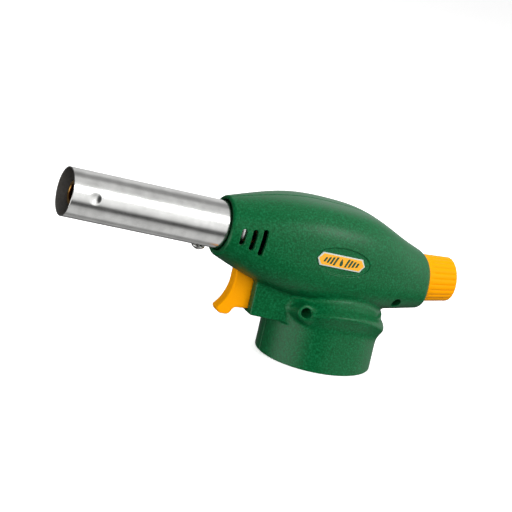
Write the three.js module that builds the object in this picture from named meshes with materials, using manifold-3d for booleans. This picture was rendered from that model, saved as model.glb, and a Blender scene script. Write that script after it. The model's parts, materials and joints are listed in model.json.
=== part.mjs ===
// Hand-held gas torch head: two moulded shells around a needle valve, a burner and a piezo igniter.
// Millimetres, +Z up. The origin is the centre of the collar's lower rim, on the cartridge's axis.
// The flame leaves towards -X, the knob is at +X, and the shells part on the plane y = 0.
import * as THREE from 'three';
import { mergeVertices } from 'three/addons/utils/BufferGeometryUtils.js';
import Module from 'manifold-3d';

const wasm = await Module();
wasm.setup();

// ---- Driving dimensions -------------------------------------------------------------------------
const GAP = 0.3;                 // clearance between pieces that touch on the real torch
const WALL = 2.0;                // shell wall
const PARTING_GAP = 0.15;        // each shell stops this far from the plane y = 0

// The burner axis lies in y = 0, climbs towards the flame and crosses the cartridge axis here.
const BURNER_AXIS_Z = 52.2;
const BURNER_TILT = THREE.MathUtils.degToRad(5.3);
const FLAME_TUBE = { radius: 11, wall: 0.55, rear: 52, front: 135.4 };
const MOUTH = 60;                // the shells' mouth, measured along the burner axis
const MOUTH_BORE = 11.8;
const TUBE_SEAT = 11.3;          // the shells hold the flame tube just inside the mouth

// The knob's axis lies in y = 0 and climbs towards the knob's end.
const KNOB_ORIGIN = new THREE.Vector3(45, 0, 43.1);
const KNOB_TILT = THREE.MathUtils.degToRad(2.1);
const KNOB = { frontRadius: 11.34, endRadius: 10.44, skirt: 2, length: 15.9, ribs: 24, ribDepth: 0.4 };

// Sections of the body across X: [x, top, bottom, half width, superellipse exponent].
const BODY_STATIONS = [
  [-59.75, 71.1, 43.9, 13.8, 2.0],
  [-45, 73.5, 37.3, 19.0, 2.4],
  [-25, 75.3, 31.2, 23.6, 2.9],
  [-5, 73.9, 28.4, 25.0, 3.1],
  [15, 69.7, 28.0, 23.2, 3.0],
  [32, 61.5, 28.6, 18.8, 2.7],
  [45.5, 55.4, 29.2, 14.0, 2.4],
];
const BODY_REAR_ROUND = 2.5;     // rounding of the body's rear edge
const REAR_OPENING = 11.8;       // hole for the knob

const COLLAR = { radius: 27.3, socket: 25.1, socketTop: 10.5, webTop: 12.5 };
// The ring's crest stands above the foot of its underside, and its top slopes in to its shoulder.
const RING = { radius: 30.4, crest: 28.4, foot: 21.2, shoulderRadius: 25, shoulder: 31.4 };
const RING_DROOP = { from: -2, towardsKnob: 0.0095, towardsTrigger: 0.0055 };     // of its crest
const RING_FADE = { from: 17, to: 28 };         // where it runs out into the trigger's housing
const NECK = { radius: 25.9, topRadius: 22.4, top: 34 };

// The trigger's housing is a wedge in plan. The trigger slides in it along X.
const HOUSING = { front: -39.4, frontHalf: 7.8, rear: -22, rearHalf: 15, bottom: 19, top: 38 };
const TRIGGER = { width: 6.5, front: -48.4, rear: -38.5, bottom: 20.5, top: 43.5, side: 0.4 };
const PIEZO = { front: -32.8, rear: -11, bottom: 31.5, top: 38.5, width: 9 };
const PLUNGER = { radius: 2.2, rear: -24.5, z: 35, bore: 2.6, boreEnd: -19 };

// The two screws that hold the shells together run along Y: the head's seat and the shank's tip.
const SHELL_SCREWS = {
  shell_screw_front: { x: -19.3, z: 27.2, seat: -13, tip: 9 },
  shell_screw_rear: { x: 27.4, z: 34.5, seat: -9.5, tip: 11 },
};
const SCREW_BOSS = { radius: 3.8, face: -22.6 };     // the front well opens in its flat face
const SCREW_WELL = 2.3;          // radius of the wells that their heads sit in
const FAR = 100;                 // beyond the torch in every direction, for the blocks that cut it

// ---- Solids: three.js geometry in, manifold-3d only to join and cut -----------------------------
const placed = (geometry, x = 0, y = 0, z = 0, ry = 0) =>
  geometry.applyMatrix4(new THREE.Matrix4().makeRotationY(ry).setPosition(x, y, z));

function solid(geometry) {
  const bare = (geometry.index ? geometry.toNonIndexed() : geometry.clone());
  bare.deleteAttribute('normal');
  bare.deleteAttribute('uv');
  const welded = mergeVertices(bare, 1e-4);
  return new wasm.Manifold(new wasm.Mesh({
    numProp: 3,
    vertProperties: new Float32Array(welded.attributes.position.array),
    triVerts: new Uint32Array(welded.index.array),
  }));
}

const FINEST = 0.004;            // the smallest edge that a cut may leave

function surface(manifold) {
  const mesh = manifold.simplify(FINEST).getMesh();
  const geometry = new THREE.BufferGeometry();
  geometry.setAttribute('position', new THREE.BufferAttribute(mesh.vertProperties, 3));
  geometry.setIndex(new THREE.BufferAttribute(mesh.triVerts, 1));
  return geometry;
}

const joined = (first, ...rest) => rest.reduce((sum, next) => sum.add(next), first);
const cut = (first, ...rest) => rest.reduce((sum, next) => sum.subtract(next), first);

// The main body of a solid, without the loose slivers that a cut can leave.
const largest = (parts) => parts.decompose()
  .reduce((best, next) => (next.volume() > best.volume() ? next : best));

// These bring +Y round to +Z, +X, -X (F for the flame's way) and +Y.
const TURN = {
  Z: new THREE.Matrix4().makeRotationX(Math.PI / 2),
  X: new THREE.Matrix4().makeRotationZ(-Math.PI / 2),
  F: new THREE.Matrix4().makeRotationZ(Math.PI / 2),
  Y: new THREE.Matrix4(),
};

// A closed profile of [radius, position] pairs turned about one of those axes.
function turned(axis, profile, segments = 32) {
  const points = profile.map(([radius, along]) => new THREE.Vector2(radius, along));
  return new THREE.LatheGeometry(points, segments).applyMatrix4(TURN[axis]);
}
const rod = (axis, radius, from, to, segments = 32) =>
  turned(axis, [[0, from], [radius, from], [radius, to], [0, to]], segments);
const ring = (axis, inner, outer, from, to, segments = 32) =>
  turned(axis, [[inner, from], [outer, from], [outer, to], [inner, to], [inner, from]], segments);

function block(x0, x1, y0, y1, z0, z1) {
  const box = new THREE.BoxGeometry(x1 - x0, y1 - y0, z1 - z0);
  return box.translate((x0 + x1) / 2, (y0 + y1) / 2, (z0 + z1) / 2);
}

// An outline in X and Z, extruded symmetrically across y = 0.
function plate(outline, width) {
  const shape = outline instanceof THREE.Shape
    ? outline
    : new THREE.Shape(outline.map(([x, z]) => new THREE.Vector2(x, z)));
  const geometry = new THREE.ExtrudeGeometry(shape, { depth: width, bevelEnabled: false, curveSegments: 10 });
  return geometry.translate(0, 0, -width / 2).rotateX(Math.PI / 2);
}

// A skin over rings of points, each ring closed and all of one length, with flat ends.
function lofted(rings) {
  const count = rings[0].length;
  const positions = rings.flat();
  const faces = [];
  for (let r = 0; r < rings.length - 1; r += 1) {
    for (let i = 0; i < count; i += 1) {
      const a = r * count + i;
      const b = r * count + ((i + 1) % count);
      faces.push(a, b, b + count, a, b + count, a + count);
    }
  }
  [0, rings.length - 1].forEach((r, end) => {
    const centre = positions.length;
    const sum = rings[r].reduce((total, point) => total.add(point), new THREE.Vector3());
    positions.push(sum.divideScalar(count));
    for (let i = 0; i < count; i += 1) {
      const pair = [r * count + i, r * count + ((i + 1) % count)];
      faces.push(centre, ...(end ? pair : pair.reverse()));
    }
  });
  const geometry = new THREE.BufferGeometry().setFromPoints(positions);
  geometry.setIndex(faces);
  return geometry;
}

// ---- The body's outer form ----------------------------------------------------------------------
const stationCurves = [1, 2, 3, 4].map((column) =>
  new THREE.SplineCurve(BODY_STATIONS.map((row) => new THREE.Vector2(row[0], row[column]))));

function bodySection(t, inset, sides) {
  const [top, bottom, width, exponent] = stationCurves.map((curve) => curve.getPoint(t).y);
  const x = stationCurves[0].getPoint(t).x;
  const rearmost = BODY_STATIONS.at(-1)[0];
  const mouthX = BODY_STATIONS[0][0];
  const lean = THREE.MathUtils.lerp(BURNER_TILT, -KNOB_TILT, (x - mouthX) / (rearmost - mouthX));
  const depth = Math.max(0, x - (rearmost - BODY_REAR_ROUND));
  const round = BODY_REAR_ROUND - Math.sqrt(Math.max(0, BODY_REAR_ROUND ** 2 - depth ** 2));
  const shrink = inset + round;
  const middle = (top + bottom) / 2;
  const points = [];
  for (let i = 0; i < sides; i += 1) {
    const angle = (i / sides) * 2 * Math.PI;
    const power = (value) => Math.sign(value) * Math.abs(value) ** (2 / exponent);
    const y = (width - shrink) * power(Math.cos(angle));
    const rise = ((top - bottom) / 2 - shrink) * power(Math.sin(angle));
    points.push(new THREE.Vector3(x + rise * Math.tan(lean), y, middle + rise));
  }
  return points;
}

// The stretch of the body between two fractions of its length, inset from its outside.
function bodyForm(inset, from, to, steps, sides) {
  const rings = [];
  for (let i = 0; i <= steps; i += 1) {
    rings.push(bodySection(from + ((to - from) * i) / steps, inset, sides));
  }
  return lofted(rings);
}

// ---- Frames -------------------------------------------------------------------------------------
const torch = new THREE.Group();
torch.name = 'gas_torch';
const burnerFrame = new THREE.Group();
burnerFrame.position.set(0, 0, BURNER_AXIS_Z);
burnerFrame.rotation.y = BURNER_TILT;
const valveFrame = new THREE.Group();
valveFrame.position.copy(KNOB_ORIGIN);
valveFrame.rotation.y = -KNOB_TILT;
torch.add(burnerFrame, valveFrame);

const onBurnerAxis = (geometry) => placed(geometry, 0, 0, BURNER_AXIS_Z, BURNER_TILT);
const onKnobAxis = (geometry) => placed(geometry, KNOB_ORIGIN.x, 0, KNOB_ORIGIN.z, -KNOB_TILT);

const finish = (color, roughness, metalness) => ({ color, roughness, metalness });
const GREEN = finish(0x165c38, 0.55, 0);
const ORANGE = finish(0xffa500, 0.45, 0);
const STEEL = finish(0xc9cbce, 0.28, 1);
const BRASS = finish(0xc8a050, 0.35, 1);
const ZINC = finish(0x9a9ca0, 0.45, 1);
const RUBBER = finish(0x1b1b1b, 0.85, 0);
const CERAMIC = finish(0xe9e4d8, 0.5, 0);

function piece(name, geometry, look, parent = torch, place = [0, 0, 0]) {
  const mesh = new THREE.Mesh(geometry, new THREE.MeshStandardMaterial(look));
  mesh.name = name;
  mesh.position.set(...place);
  parent.add(mesh);
  return mesh;
}

// ---- Shells -------------------------------------------------------------------------------------
function collarForm() {
  const edge = 0.5;
  const profile = [
    [0, 0], [COLLAR.radius, 0], [COLLAR.radius, RING.foot], [RING.radius, RING.crest - edge],
    [RING.radius - edge / 2, RING.crest + edge], [RING.shoulderRadius, RING.shoulder],
    [NECK.topRadius, NECK.top], [0, NECK.top],
  ];
  const geometry = turned('Z', profile, 44);
  const position = geometry.attributes.position;
  for (let i = 0; i < position.count; i += 1) {
    const x = position.getX(i);
    const y = position.getY(i);
    const z = position.getZ(i);
    const onRing = z > COLLAR.webTop && z < NECK.top ? 1 : 0;
    const away = x - RING_DROOP.from;
    const droop = (away > 0 ? RING_DROOP.towardsKnob : RING_DROOP.towardsTrigger) * away ** 2;
    const fade = THREE.MathUtils.smoothstep(-x, RING_FADE.from, RING_FADE.to);
    const narrowest = Math.min(1, COLLAR.radius / Math.hypot(x, y));
    const narrower = THREE.MathUtils.lerp(1, narrowest, fade);
    position.setXYZ(i, x * narrower, y * narrower, z - onRing * droop);
  }
  return geometry;
}

// The trigger's housing widens towards the neck, and `inset` leaves room for its wall.
function housingForm(inset, bottom, rear) {
  const { front, frontHalf, rearHalf, top } = HOUSING;
  const slope = (rearHalf - frontHalf) / (HOUSING.rear - front);
  const halfAt = (x) => frontHalf + slope * (x - front) - inset;
  const plan = new THREE.Shape([
    new THREE.Vector2(front + inset, halfAt(front + inset)),
    new THREE.Vector2(rear, halfAt(rear)),
    new THREE.Vector2(rear, -halfAt(rear)),
    new THREE.Vector2(front + inset, -halfAt(front + inset)),
  ]);
  const depth = top - bottom;
  return new THREE.ExtrudeGeometry(plan, { depth, bevelEnabled: false }).translate(0, 0, bottom);
}

// Three upright slots on each side near the mouth: [x, z, length].
const VENTS = [[-54.3, 57.1, 7.4], [-49.75, 56.6, 9.6], [-45.5, 56.2, 12.0]];
const VENT_WIDTH = 2.2;

function ventCuts(side) {
  const [nearest, farthest] = [10, 26];
  return VENTS.map(([x, z, length]) => {
    const shape = new THREE.Shape();
    const straight = (length - VENT_WIDTH) / 2;
    shape.absarc(0, straight, VENT_WIDTH / 2, 0, Math.PI);
    shape.absarc(0, -straight, VENT_WIDTH / 2, Math.PI, 2 * Math.PI);
    const depth = farthest - nearest;
    const slot = new THREE.ExtrudeGeometry(shape, { depth, bevelEnabled: false, curveSegments: 5 });
    slot.rotateX(Math.PI / 2).translate(0, side < 0 ? -nearest : farthest, 0);
    return solid(placed(slot, x, 0, z, BURNER_TILT));
  });
}

// The badge lies on the flat floor of a shallow oval recess in the left shell.
const BADGE = { x: -8.7, z: 53.1, tilt: THREE.MathUtils.degToRad(5), floor: -23.9, face: -24.8 };
const RECESS = { x: -7.8, halfLength: 14, halfHeight: 6.3 };

function badgeRecess() {
  const depth = 10;
  const oval = new THREE.CylinderGeometry(1, 1, depth, 32);
  oval.scale(RECESS.halfLength, 1, RECESS.halfHeight).translate(0, BADGE.floor - depth / 2, 0);
  return placed(oval, RECESS.x, 0, BADGE.z, BADGE.tilt);
}

// Each screw's head sits at the bottom of a wide tube, and only its shank crosses the middle.
function shellScrewBosses(side) {
  const wide = SCREW_WELL + 1.2;
  const slender = 2.7;
  return Object.values(SHELL_SCREWS).flatMap(({ x, z, seat }) => {
    const bosses = side < 0
      ? [rod('Y', wide, -FAR, seat + WALL, 20), rod('Y', slender, seat, 0, 20)]
      : [rod('Y', slender, 0, FAR, 20)];
    return bosses.map((boss) => solid(boss.translate(x, 0, z)));
  });
}

function shellScrewHoles(side) {
  const clearance = 1.7;
  const threaded = 1.5;
  return Object.values(SHELL_SCREWS).flatMap(({ x, z, seat, tip }) => {
    const holes = side < 0
      ? [rod('Y', SCREW_WELL, -FAR, seat, 24), rod('Y', clearance, seat - 1, 1, 16)]
      : [rod('Y', threaded, -1, tip + 3, 16)];
    return holes.map((hole) => solid(hole.translate(x, 0, z)));
  });
}

// Cross walls inside the shells that carry the valve and the jet holder, with a notch for the wire.
// Their edges run halfway into the shells' walls.
function crossWalls() {
  const inside = solid(bodyForm(WALL / 2, 0.04, 0.965, 7, 20));
  const valveWall = [block(13, 15, -FAR, FAR, 10, FAR), onKnobAxis(rod('X', 7.8, -60, 0))];
  const jetWall = [
    block(-27.2, -25.2, -FAR, FAR, 47, FAR),
    onBurnerAxis(rod('F', 6.4, 10, 60)),
    block(-28, -24, 4, 12, 54, 66),
  ];
  return [valveWall, jetWall].map(([wall, ...holes]) =>
    cut(solid(wall).intersect(inside), ...holes.map(solid)));
}

// The flame tube stands in a seat, with a little more room around it at the very mouth.
function mouthHollow() {
  const seatRear = MOUTH - 8;
  const seatFront = MOUTH - 1.8;
  const beyond = MOUTH + 4;
  return onBurnerAxis(turned('F', [
    [0, seatRear], [TUBE_SEAT, seatRear], [TUBE_SEAT, seatFront], [MOUTH_BORE, seatFront],
    [MOUTH_BORE, beyond], [0, beyond],
  ], 36));
}

function neckHollow() {
  const inner = NECK.radius - WALL;
  const narrowFrom = 25;
  return turned('Z', [
    [0, COLLAR.webTop], [inner, COLLAR.webTop], [inner, narrowFrom],
    [NECK.topRadius - WALL, NECK.top], [0, NECK.top],
  ], 32);
}

function triggerHollow() {
  const half = TRIGGER.width / 2 + TRIGGER.side;
  return block(TRIGGER.front - 0.7, -30, -half, half, TRIGGER.bottom - 0.4, TRIGGER.top + 0.5);
}

function screwBoss() {
  const { x, z } = SHELL_SCREWS.shell_screw_front;
  const buried = -10;
  return rod('Y', SCREW_BOSS.radius, SCREW_BOSS.face, buried, 24).translate(x, 0, z);
}

function shellPair() {
  const outside = joined(
    solid(bodyForm(0, 0, 1, 14, 32)),
    solid(collarForm()),
    solid(housingForm(0, HOUSING.bottom, HOUSING.rear)),
    solid(screwBoss()),
  );
  const bodyInside = solid(bodyForm(WALL, 0.04, 0.965, 7, 20));
  const nippleHole = 8;
  const hollow = [
    mouthHollow(),
    neckHollow(),
    housingForm(WALL, HOUSING.bottom + WALL, HOUSING.rear + 4),
    triggerHollow(),
    rod('Z', COLLAR.socket, -1, COLLAR.socketTop, 44),
    rod('Z', nippleHole, 0, 20, 24),
    onKnobAxis(rod('X', REAR_OPENING, -8, 8, 40)),
  ].map(solid);
  const atScrews = (radius, from, to) =>
    bayonetScrewPlaces().map(([x, y]) => solid(rod('Z', radius, from, to, 16).translate(x, y, 0)));
  const clearOfSocket = outside.subtract(solid(block(-FAR, FAR, -FAR, FAR, -FAR, COLLAR.webTop - 0.5)));

  return [-1, 1].map((side) => {
    const bosses = joined(...shellScrewBosses(side)).intersect(clearOfSocket);
    const additions = [bosses, ...atScrews(3.2, COLLAR.socketTop, 19), ...crossWalls()];
    const cuts = [...shellScrewHoles(side), ...atScrews(1.4, 0, 18), ...ventCuts(side)];
    if (side < 0) {
      cuts.push(solid(badgeRecess()));
    }
    const [yFrom, yTo] = side < 0 ? [-FAR, -PARTING_GAP] : [PARTING_GAP, FAR];
    const half = solid(block(-FAR, FAR, yFrom, yTo, -FAR, FAR));
    const walls = cut(outside, bodyInside, ...hollow);
    return largest(cut(joined(walls, ...additions), ...cuts).intersect(half));
  });
}

function bayonetScrewPlaces() {
  const [along, across] = [11, 10];
  return [[along, across], [-along, across], [-along, -across], [along, -across]];
}

const [leftShell, rightShell] = shellPair();
piece('left_shell', surface(leftShell), GREEN);
piece('right_shell', surface(rightShell), GREEN);
piece('badge', badgePlate(), finish(0xe8a010, 0.35, 0), torch, [BADGE.x, 0, BADGE.z]).rotation.y = BADGE.tilt;

function badgePlate() {
  const halfLength = 12.1;
  const cornerAt = 10.2;
  const halfHeight = 3.1;
  const outline = [
    [-halfLength, 0], [-cornerAt, -halfHeight], [cornerAt, -halfHeight],
    [halfLength, 0], [cornerAt, halfHeight], [-cornerAt, halfHeight],
  ];
  const thickness = BADGE.floor - GAP / 2 - BADGE.face;
  return plate(outline, thickness).translate(0, BADGE.face + thickness / 2, 0);
}

// A pan-head screw along an axis: its head's underside is at `seat` and its shank runs to `tip`.
function panScrew(axis, seat, tip, headRadius, shankRadius) {
  const headHeight = headRadius * 0.62;
  const away = Math.sign(seat - tip);
  const crown = seat + away * headHeight;
  const profile = [
    [0, tip], [shankRadius, tip], [shankRadius, seat], [headRadius, seat],
    [headRadius * 0.95, seat + away * headHeight * 0.5], [headRadius * 0.6, crown], [0, crown],
  ];
  const geometry = turned(axis, away > 0 ? profile : profile.reverse(), 16);
  const slotDepth = headHeight * 0.5;
  const slotHalf = headRadius * 0.6;
  const slotWidth = 0.6;
  const slots = [[slotHalf, slotWidth / 2], [slotWidth / 2, slotHalf]].map(([a, b]) => {
    const bar = new THREE.BoxGeometry(2 * a, 2 * slotDepth, 2 * b).translate(0, crown, 0);
    return solid(bar.applyMatrix4(TURN[axis]));
  });
  return surface(cut(solid(geometry), ...slots));
}

Object.entries(SHELL_SCREWS).forEach(([name, { x, z, seat, tip }]) => {
  piece(name, panScrew('Y', seat - GAP, tip, 2.0, 1.25), ZINC, torch, [x, 0, z]);
});

// ---- Cartridge socket ---------------------------------------------------------------------------
const BAYONET = { radius: 24.6, bottom: 8.2, top: 10.2, hole: 5, lugs: 3, lugInner: 19.5, lugOuter: 22 };

function ringSector(inner, outer, halfAngle, from, to) {
  const shape = new THREE.Shape();
  shape.absarc(0, 0, outer, -halfAngle, halfAngle, false);
  shape.absarc(0, 0, inner, halfAngle, -halfAngle, true);
  const options = { depth: to - from, bevelEnabled: false, curveSegments: 4 };
  return new THREE.ExtrudeGeometry(shape, options).translate(0, 0, from);
}

function bayonetPlate() {
  const { radius, bottom, top, hole, lugs, lugInner, lugOuter } = BAYONET;
  const lugAngle = 0.3;
  const footBottom = 2.6;
  const footTop = 4.0;
  const footReach = 2.6;
  const parts = [];
  for (let i = 0; i < lugs; i += 1) {
    const turn = ((2 * i + 1) * Math.PI) / lugs;
    const stem = ringSector(lugInner, lugOuter, lugAngle, footTop - 0.5, bottom + 0.5);
    const foot = ringSector(lugInner - footReach, lugOuter, lugAngle, footBottom, footTop);
    parts.push(solid(stem.rotateZ(turn)), solid(foot.rotateZ(turn)));
  }
  const screwHoles = bayonetScrewPlaces().map(([x, y]) =>
    solid(rod('Z', 1.7, bottom - 1, top + 1, 10).translate(x, y, 0)));
  return surface(cut(joined(solid(ring('Z', hole, radius, bottom, top, 40)), ...parts), ...screwHoles));
}

piece('bayonet_plate', bayonetPlate(), ZINC);
bayonetScrewPlaces().forEach(([x, y], i) => {
  const screw = panScrew('Z', BAYONET.bottom - GAP, 16.5, 2.6, 1.1);
  piece(`bayonet_screw_${i + 1}`, screw, ZINC, torch, [x, y, 0]);
});
piece('cartridge_gasket', ring('Z', 3.0, 9.0, 5.6, BAYONET.bottom - GAP, 24), RUBBER);

function inletNipple() {
  const bore = 0.9;
  return turned('Z', [
    [bore, 2.5], [1.6, 2.5], [1.8, 5.0], [2.6, 5.3], [2.6, 10.8], [6.0, 10.8], [6.0, 12.4],
    [3.3, 12.4], [3.3, 17.0], [bore, 17.0], [bore, 2.5],
  ], 20);
}
piece('inlet_nipple', inletNipple(), BRASS);
piece('inlet_filter', rod('Z', 2.8, 17.3, 20.8, 20), finish(0xb08a5a, 0.9, 0.6));

// ---- Valve, built about the knob's axis with its inlet hanging down the cartridge axis ----------
const VALVE = {
  front: -53, rear: -20.5, radius: 7.2, waist: -27, rearRadius: 5.2, stemRadius: 6.2, stemBottom: 12.8,
};

function valveBody() {
  const { front, rear, radius, waist, rearRadius, stemRadius, stemBottom } = VALVE;
  const inletX = -KNOB_ORIGIN.x;
  const drop = KNOB_ORIGIN.z + inletX * Math.tan(KNOB_TILT);
  const upright = (geometry) => geometry.rotateY(KNOB_TILT).translate(inletX, 0, 0);
  const along = (radiusOf, from, to, segments = 20) => solid(rod('X', radiusOf, from, to, segments));
  const down = (radiusOf, from, to, segments = 20) => solid(upright(rod('Z', radiusOf, from, to, segments)));
  return surface(cut(
    joined(
      along(radius, front, waist, 24),
      along(rearRadius, front, rear),
      down(stemRadius, stemBottom - drop, 0, 24),
    ),
    along(4.2, -37, rear + 1),
    along(2.6, -47, -36),
    along(0.9, -51, -46, 16),
    along(1.8, front - 1, -50),
    down(3.6, stemBottom - drop - 1, 17.1 - drop),
    down(3.1, 17 - drop, 21.2 - drop),
    down(1.5, 21 - drop, 0, 16),
  ));
}
piece('valve_body', valveBody(), BRASS, valveFrame);

function spindle() {
  return turned('X', [
    [0, -47.7], [0.25, -47.7], [1.8, -45.2], [1.8, -37.5], [3.85, -35.5], [3.85, -33.3], [2.6, -33.3],
    [2.6, -30.7], [3.85, -30.7], [3.85, -28.2], [3.1, -27.6], [3.1, -13], [2.5, -12], [2.5, 9], [0, 9],
  ], 20);
}
piece('valve_spindle', spindle(), STEEL, valveFrame);
piece('spindle_o_ring', new THREE.TorusGeometry(3.35, 0.6, 6, 20).rotateY(Math.PI / 2).translate(-32, 0, 0),
  RUBBER, valveFrame);

function glandNut() {
  const nose = rod('X', 3.95, -24.5, -19.9, 24);
  const hexagon = rod('X', 5.2, -20.2, -14.8, 6).rotateX(Math.PI / 6);
  return surface(cut(joined(solid(nose), solid(hexagon)), solid(rod('X', 3.45, -25, -13, 24))));
}
piece('gland_nut', glandNut(), BRASS, valveFrame);

function knobBody() {
  const { frontRadius, endRadius, skirt, length, ribs: count, ribDepth } = KNOB;
  const sides = count * 4;
  const edge = 1.0;
  const stationsAlong = [[-skirt, 0], [length - edge, 0], [length - edge * 0.3, edge * 0.35], [length, edge]];
  const rings = stationsAlong.map(([x, inset]) => {
    const radius = THREE.MathUtils.lerp(frontRadius, endRadius, Math.max(0, x) / length) - inset;
    return Array.from({ length: sides }, (_, i) => {
      const angle = (i / sides) * 2 * Math.PI;
      const r = i % 4 === 0 ? radius - ribDepth : radius;
      return new THREE.Vector3(x, r * Math.cos(angle), r * Math.sin(angle));
    });
  });
  const hub = 5.2;
  const hollow = ring('X', hub, 9.3, -skirt - 1, length - 3.5, 32);
  return surface(cut(solid(lofted(rings)), solid(hollow), solid(rod('X', 2.8, -skirt - 1, 9.4, 24)),
    solid(rod('X', 1.6, 9, 14, 16)), solid(rod('X', 3.2, 13.6, length + 1, 24))));
}
piece('knob', knobBody(), ORANGE, valveFrame);
piece('knob_screw', panScrew('X', 13.9, 9.3, 2.7, 1.3), ZINC, valveFrame);

// ---- Burner, along the burner axis --------------------------------------------------------------
const PIPE_RADIUS = 1.5;
const BURNER_TUBE = { outer: 5.2, inner: 4.3, rear: 31, front: 114 };
const ELECTRODE_OFFSET = 7.95;

function gasPipe() {
  valveFrame.updateMatrix();
  burnerFrame.updateMatrix();
  const valvePoint = (x) => new THREE.Vector3(x, 0, 0).applyMatrix4(valveFrame.matrix);
  const burnerPoint = (ahead) => new THREE.Vector3(-ahead, 0, 0).applyMatrix4(burnerFrame.matrix);
  const path = new THREE.CurvePath();
  path.add(new THREE.LineCurve3(valvePoint(-50.4), valvePoint(-54)));
  path.add(new THREE.CubicBezierCurve3(valvePoint(-54), valvePoint(-63), burnerPoint(12), burnerPoint(21)));
  path.add(new THREE.LineCurve3(burnerPoint(21), burnerPoint(25.6)));
  const section = new THREE.Shape().absarc(0, 0, PIPE_RADIUS, 0, 2 * Math.PI);
  const bore = new THREE.Path().absarc(0, 0, PIPE_RADIUS - 0.6, 0, 2 * Math.PI);
  section.holes.push(bore);
  return new THREE.ExtrudeGeometry(section, {
    steps: 14, curveSegments: 4, bevelEnabled: false, extrudePath: path,
  });
}
piece('gas_pipe', gasPipe(), finish(0xb87350, 0.35, 1));

function jetHolder() {
  const hexagon = solid(rod('F', 6.0, 22, 30.6, 6));
  const nose = solid(rod('F', 4.0, 30, 36, 24));
  const wideBore = solid(rod('F', 1.8, 21, 26, 16));
  const narrowBore = solid(rod('F', 1.0, 25, 33, 12));
  const jetSeat = solid(rod('F', 2.3, 32, 37, 20));
  return surface(cut(joined(hexagon, nose), wideBore, narrowBore, jetSeat));
}
piece('jet_holder', jetHolder(), BRASS, burnerFrame);
piece('gas_jet', turned('F', [
  [0.9, 32.4], [2.0, 32.4], [2.0, 36.3], [3.2, 36.3], [3.2, 38.5], [1.6, 39.3], [1.6, 41.5],
  [0.4, 41.5], [0.4, 40], [0.9, 39], [0.9, 32.4],
], 20), BRASS, burnerFrame);

function burnerTube() {
  const { outer, inner, rear, front } = BURNER_TUBE;
  const airHole = 2.0;
  const airAt = 45;
  const holes = [0, Math.PI / 2].map((turn) =>
    solid(rod('Z', airHole, -10, 10, 12).rotateX(turn).translate(-airAt, 0, 0)));
  return surface(cut(solid(ring('F', inner, outer, rear, front, 24)), ...holes));
}
piece('burner_tube', burnerTube(), STEEL, burnerFrame);

piece('burner_head', turned('F', [
  [5.5, 110], [5.9, 110], [5.9, 131.4], [5.3, 132.2], [4.6, 132.2], [3.5, 130.6], [3.5, 116.2],
  [5.5, 116.2], [5.5, 110],
], 32), BRASS, burnerFrame);

function flameHolder() {
  const holes = [solid(rod('F', 0.8, 110, 120, 8))];
  for (let i = 0; i < 6; i += 1) {
    const turn = (i * Math.PI) / 3;
    holes.push(solid(rod('F', 0.8, 110, 120, 8).translate(0, 2.4 * Math.cos(turn), 2.4 * Math.sin(turn))));
  }
  return surface(cut(solid(rod('F', 5.1, 114.3, 115.9, 20)), ...holes));
}
piece('flame_holder', flameHolder(), BRASS, burnerFrame);

// A ring that centres the burner tube in the flame tube, with one passage for the electrode.
function centringRing(from, to, bore, passageRadii) {
  const outer = FLAME_TUBE.radius - FLAME_TUBE.wall - GAP;
  const passages = passageRadii.map((radius, i) => {
    const passage = rod('F', radius, from - 1, to + 1, 10).translate(0, 0, (bore + outer) / 2);
    return solid(passage.rotateX((i * 2 * Math.PI) / passageRadii.length));
  });
  return cut(solid(ring('F', bore, outer, from, to, 32)), ...passages);
}
const TUBE_SCREW_AT = 67.5;
const tubeScrewHole = () => solid(rod('Z', 1.6, -13, -7, 14).translate(-TUBE_SCREW_AT, 0, 0));
const rearRing = cut(centringRing(62, 74, 5.5, [2.05, 1.6, 1.6, 1.6, 1.6]), tubeScrewHole());
piece('rear_centring_ring', surface(rearRing), ZINC, burnerFrame);
piece('front_centring_ring', surface(centringRing(117.3, 121.3, 6.2, [1.5, 1.5, 1.5, 1.5, 1.5, 1.5])),
  ZINC, burnerFrame);

// Three dimples around the flame tube grip the burner's front ring.
const DIMPLE = { at: 124.7, radius: 2.1, count: 3, firstTurn: THREE.MathUtils.degToRad(170) };
function flameTube() {
  const { radius, wall, rear, front } = FLAME_TUBE;
  const inner = radius - wall;
  const bowl = (size) => Array.from({ length: DIMPLE.count }, (_, i) => {
    const turn = DIMPLE.firstTurn + (i * 2 * Math.PI) / DIMPLE.count;
    const ball = new THREE.SphereGeometry(size, 10, 8).translate(0, radius + 0.9, 0);
    return solid(ball.rotateX(turn).translate(-DIMPLE.at, 0, 0));
  });
  const middle = solid(rod('F', radius - wall / 2, rear, front, 48));
  const bumps = joined(...bowl(DIMPLE.radius)).intersect(middle);
  const tube = joined(solid(ring('F', inner, radius, rear, front, 48)), bumps);
  return surface(cut(tube, ...bowl(DIMPLE.radius - wall), tubeScrewHole()));
}
piece('flame_tube', flameTube(), STEEL, burnerFrame);
piece('tube_screw', panScrew('Z', -FLAME_TUBE.radius - GAP, -7.4, 3.0, 1.3), STEEL, burnerFrame,
  [-TUBE_SCREW_AT, 0, 0]);

piece('electrode_insulator', ring('F', 0.9, 1.7, 42.3, 112, 16), CERAMIC, burnerFrame,
  [0, 0, ELECTRODE_OFFSET]);
piece('electrode_pin', rod('F', 0.6, 42.6, 130, 10), STEEL, burnerFrame, [0, 0, ELECTRODE_OFFSET]);

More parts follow.
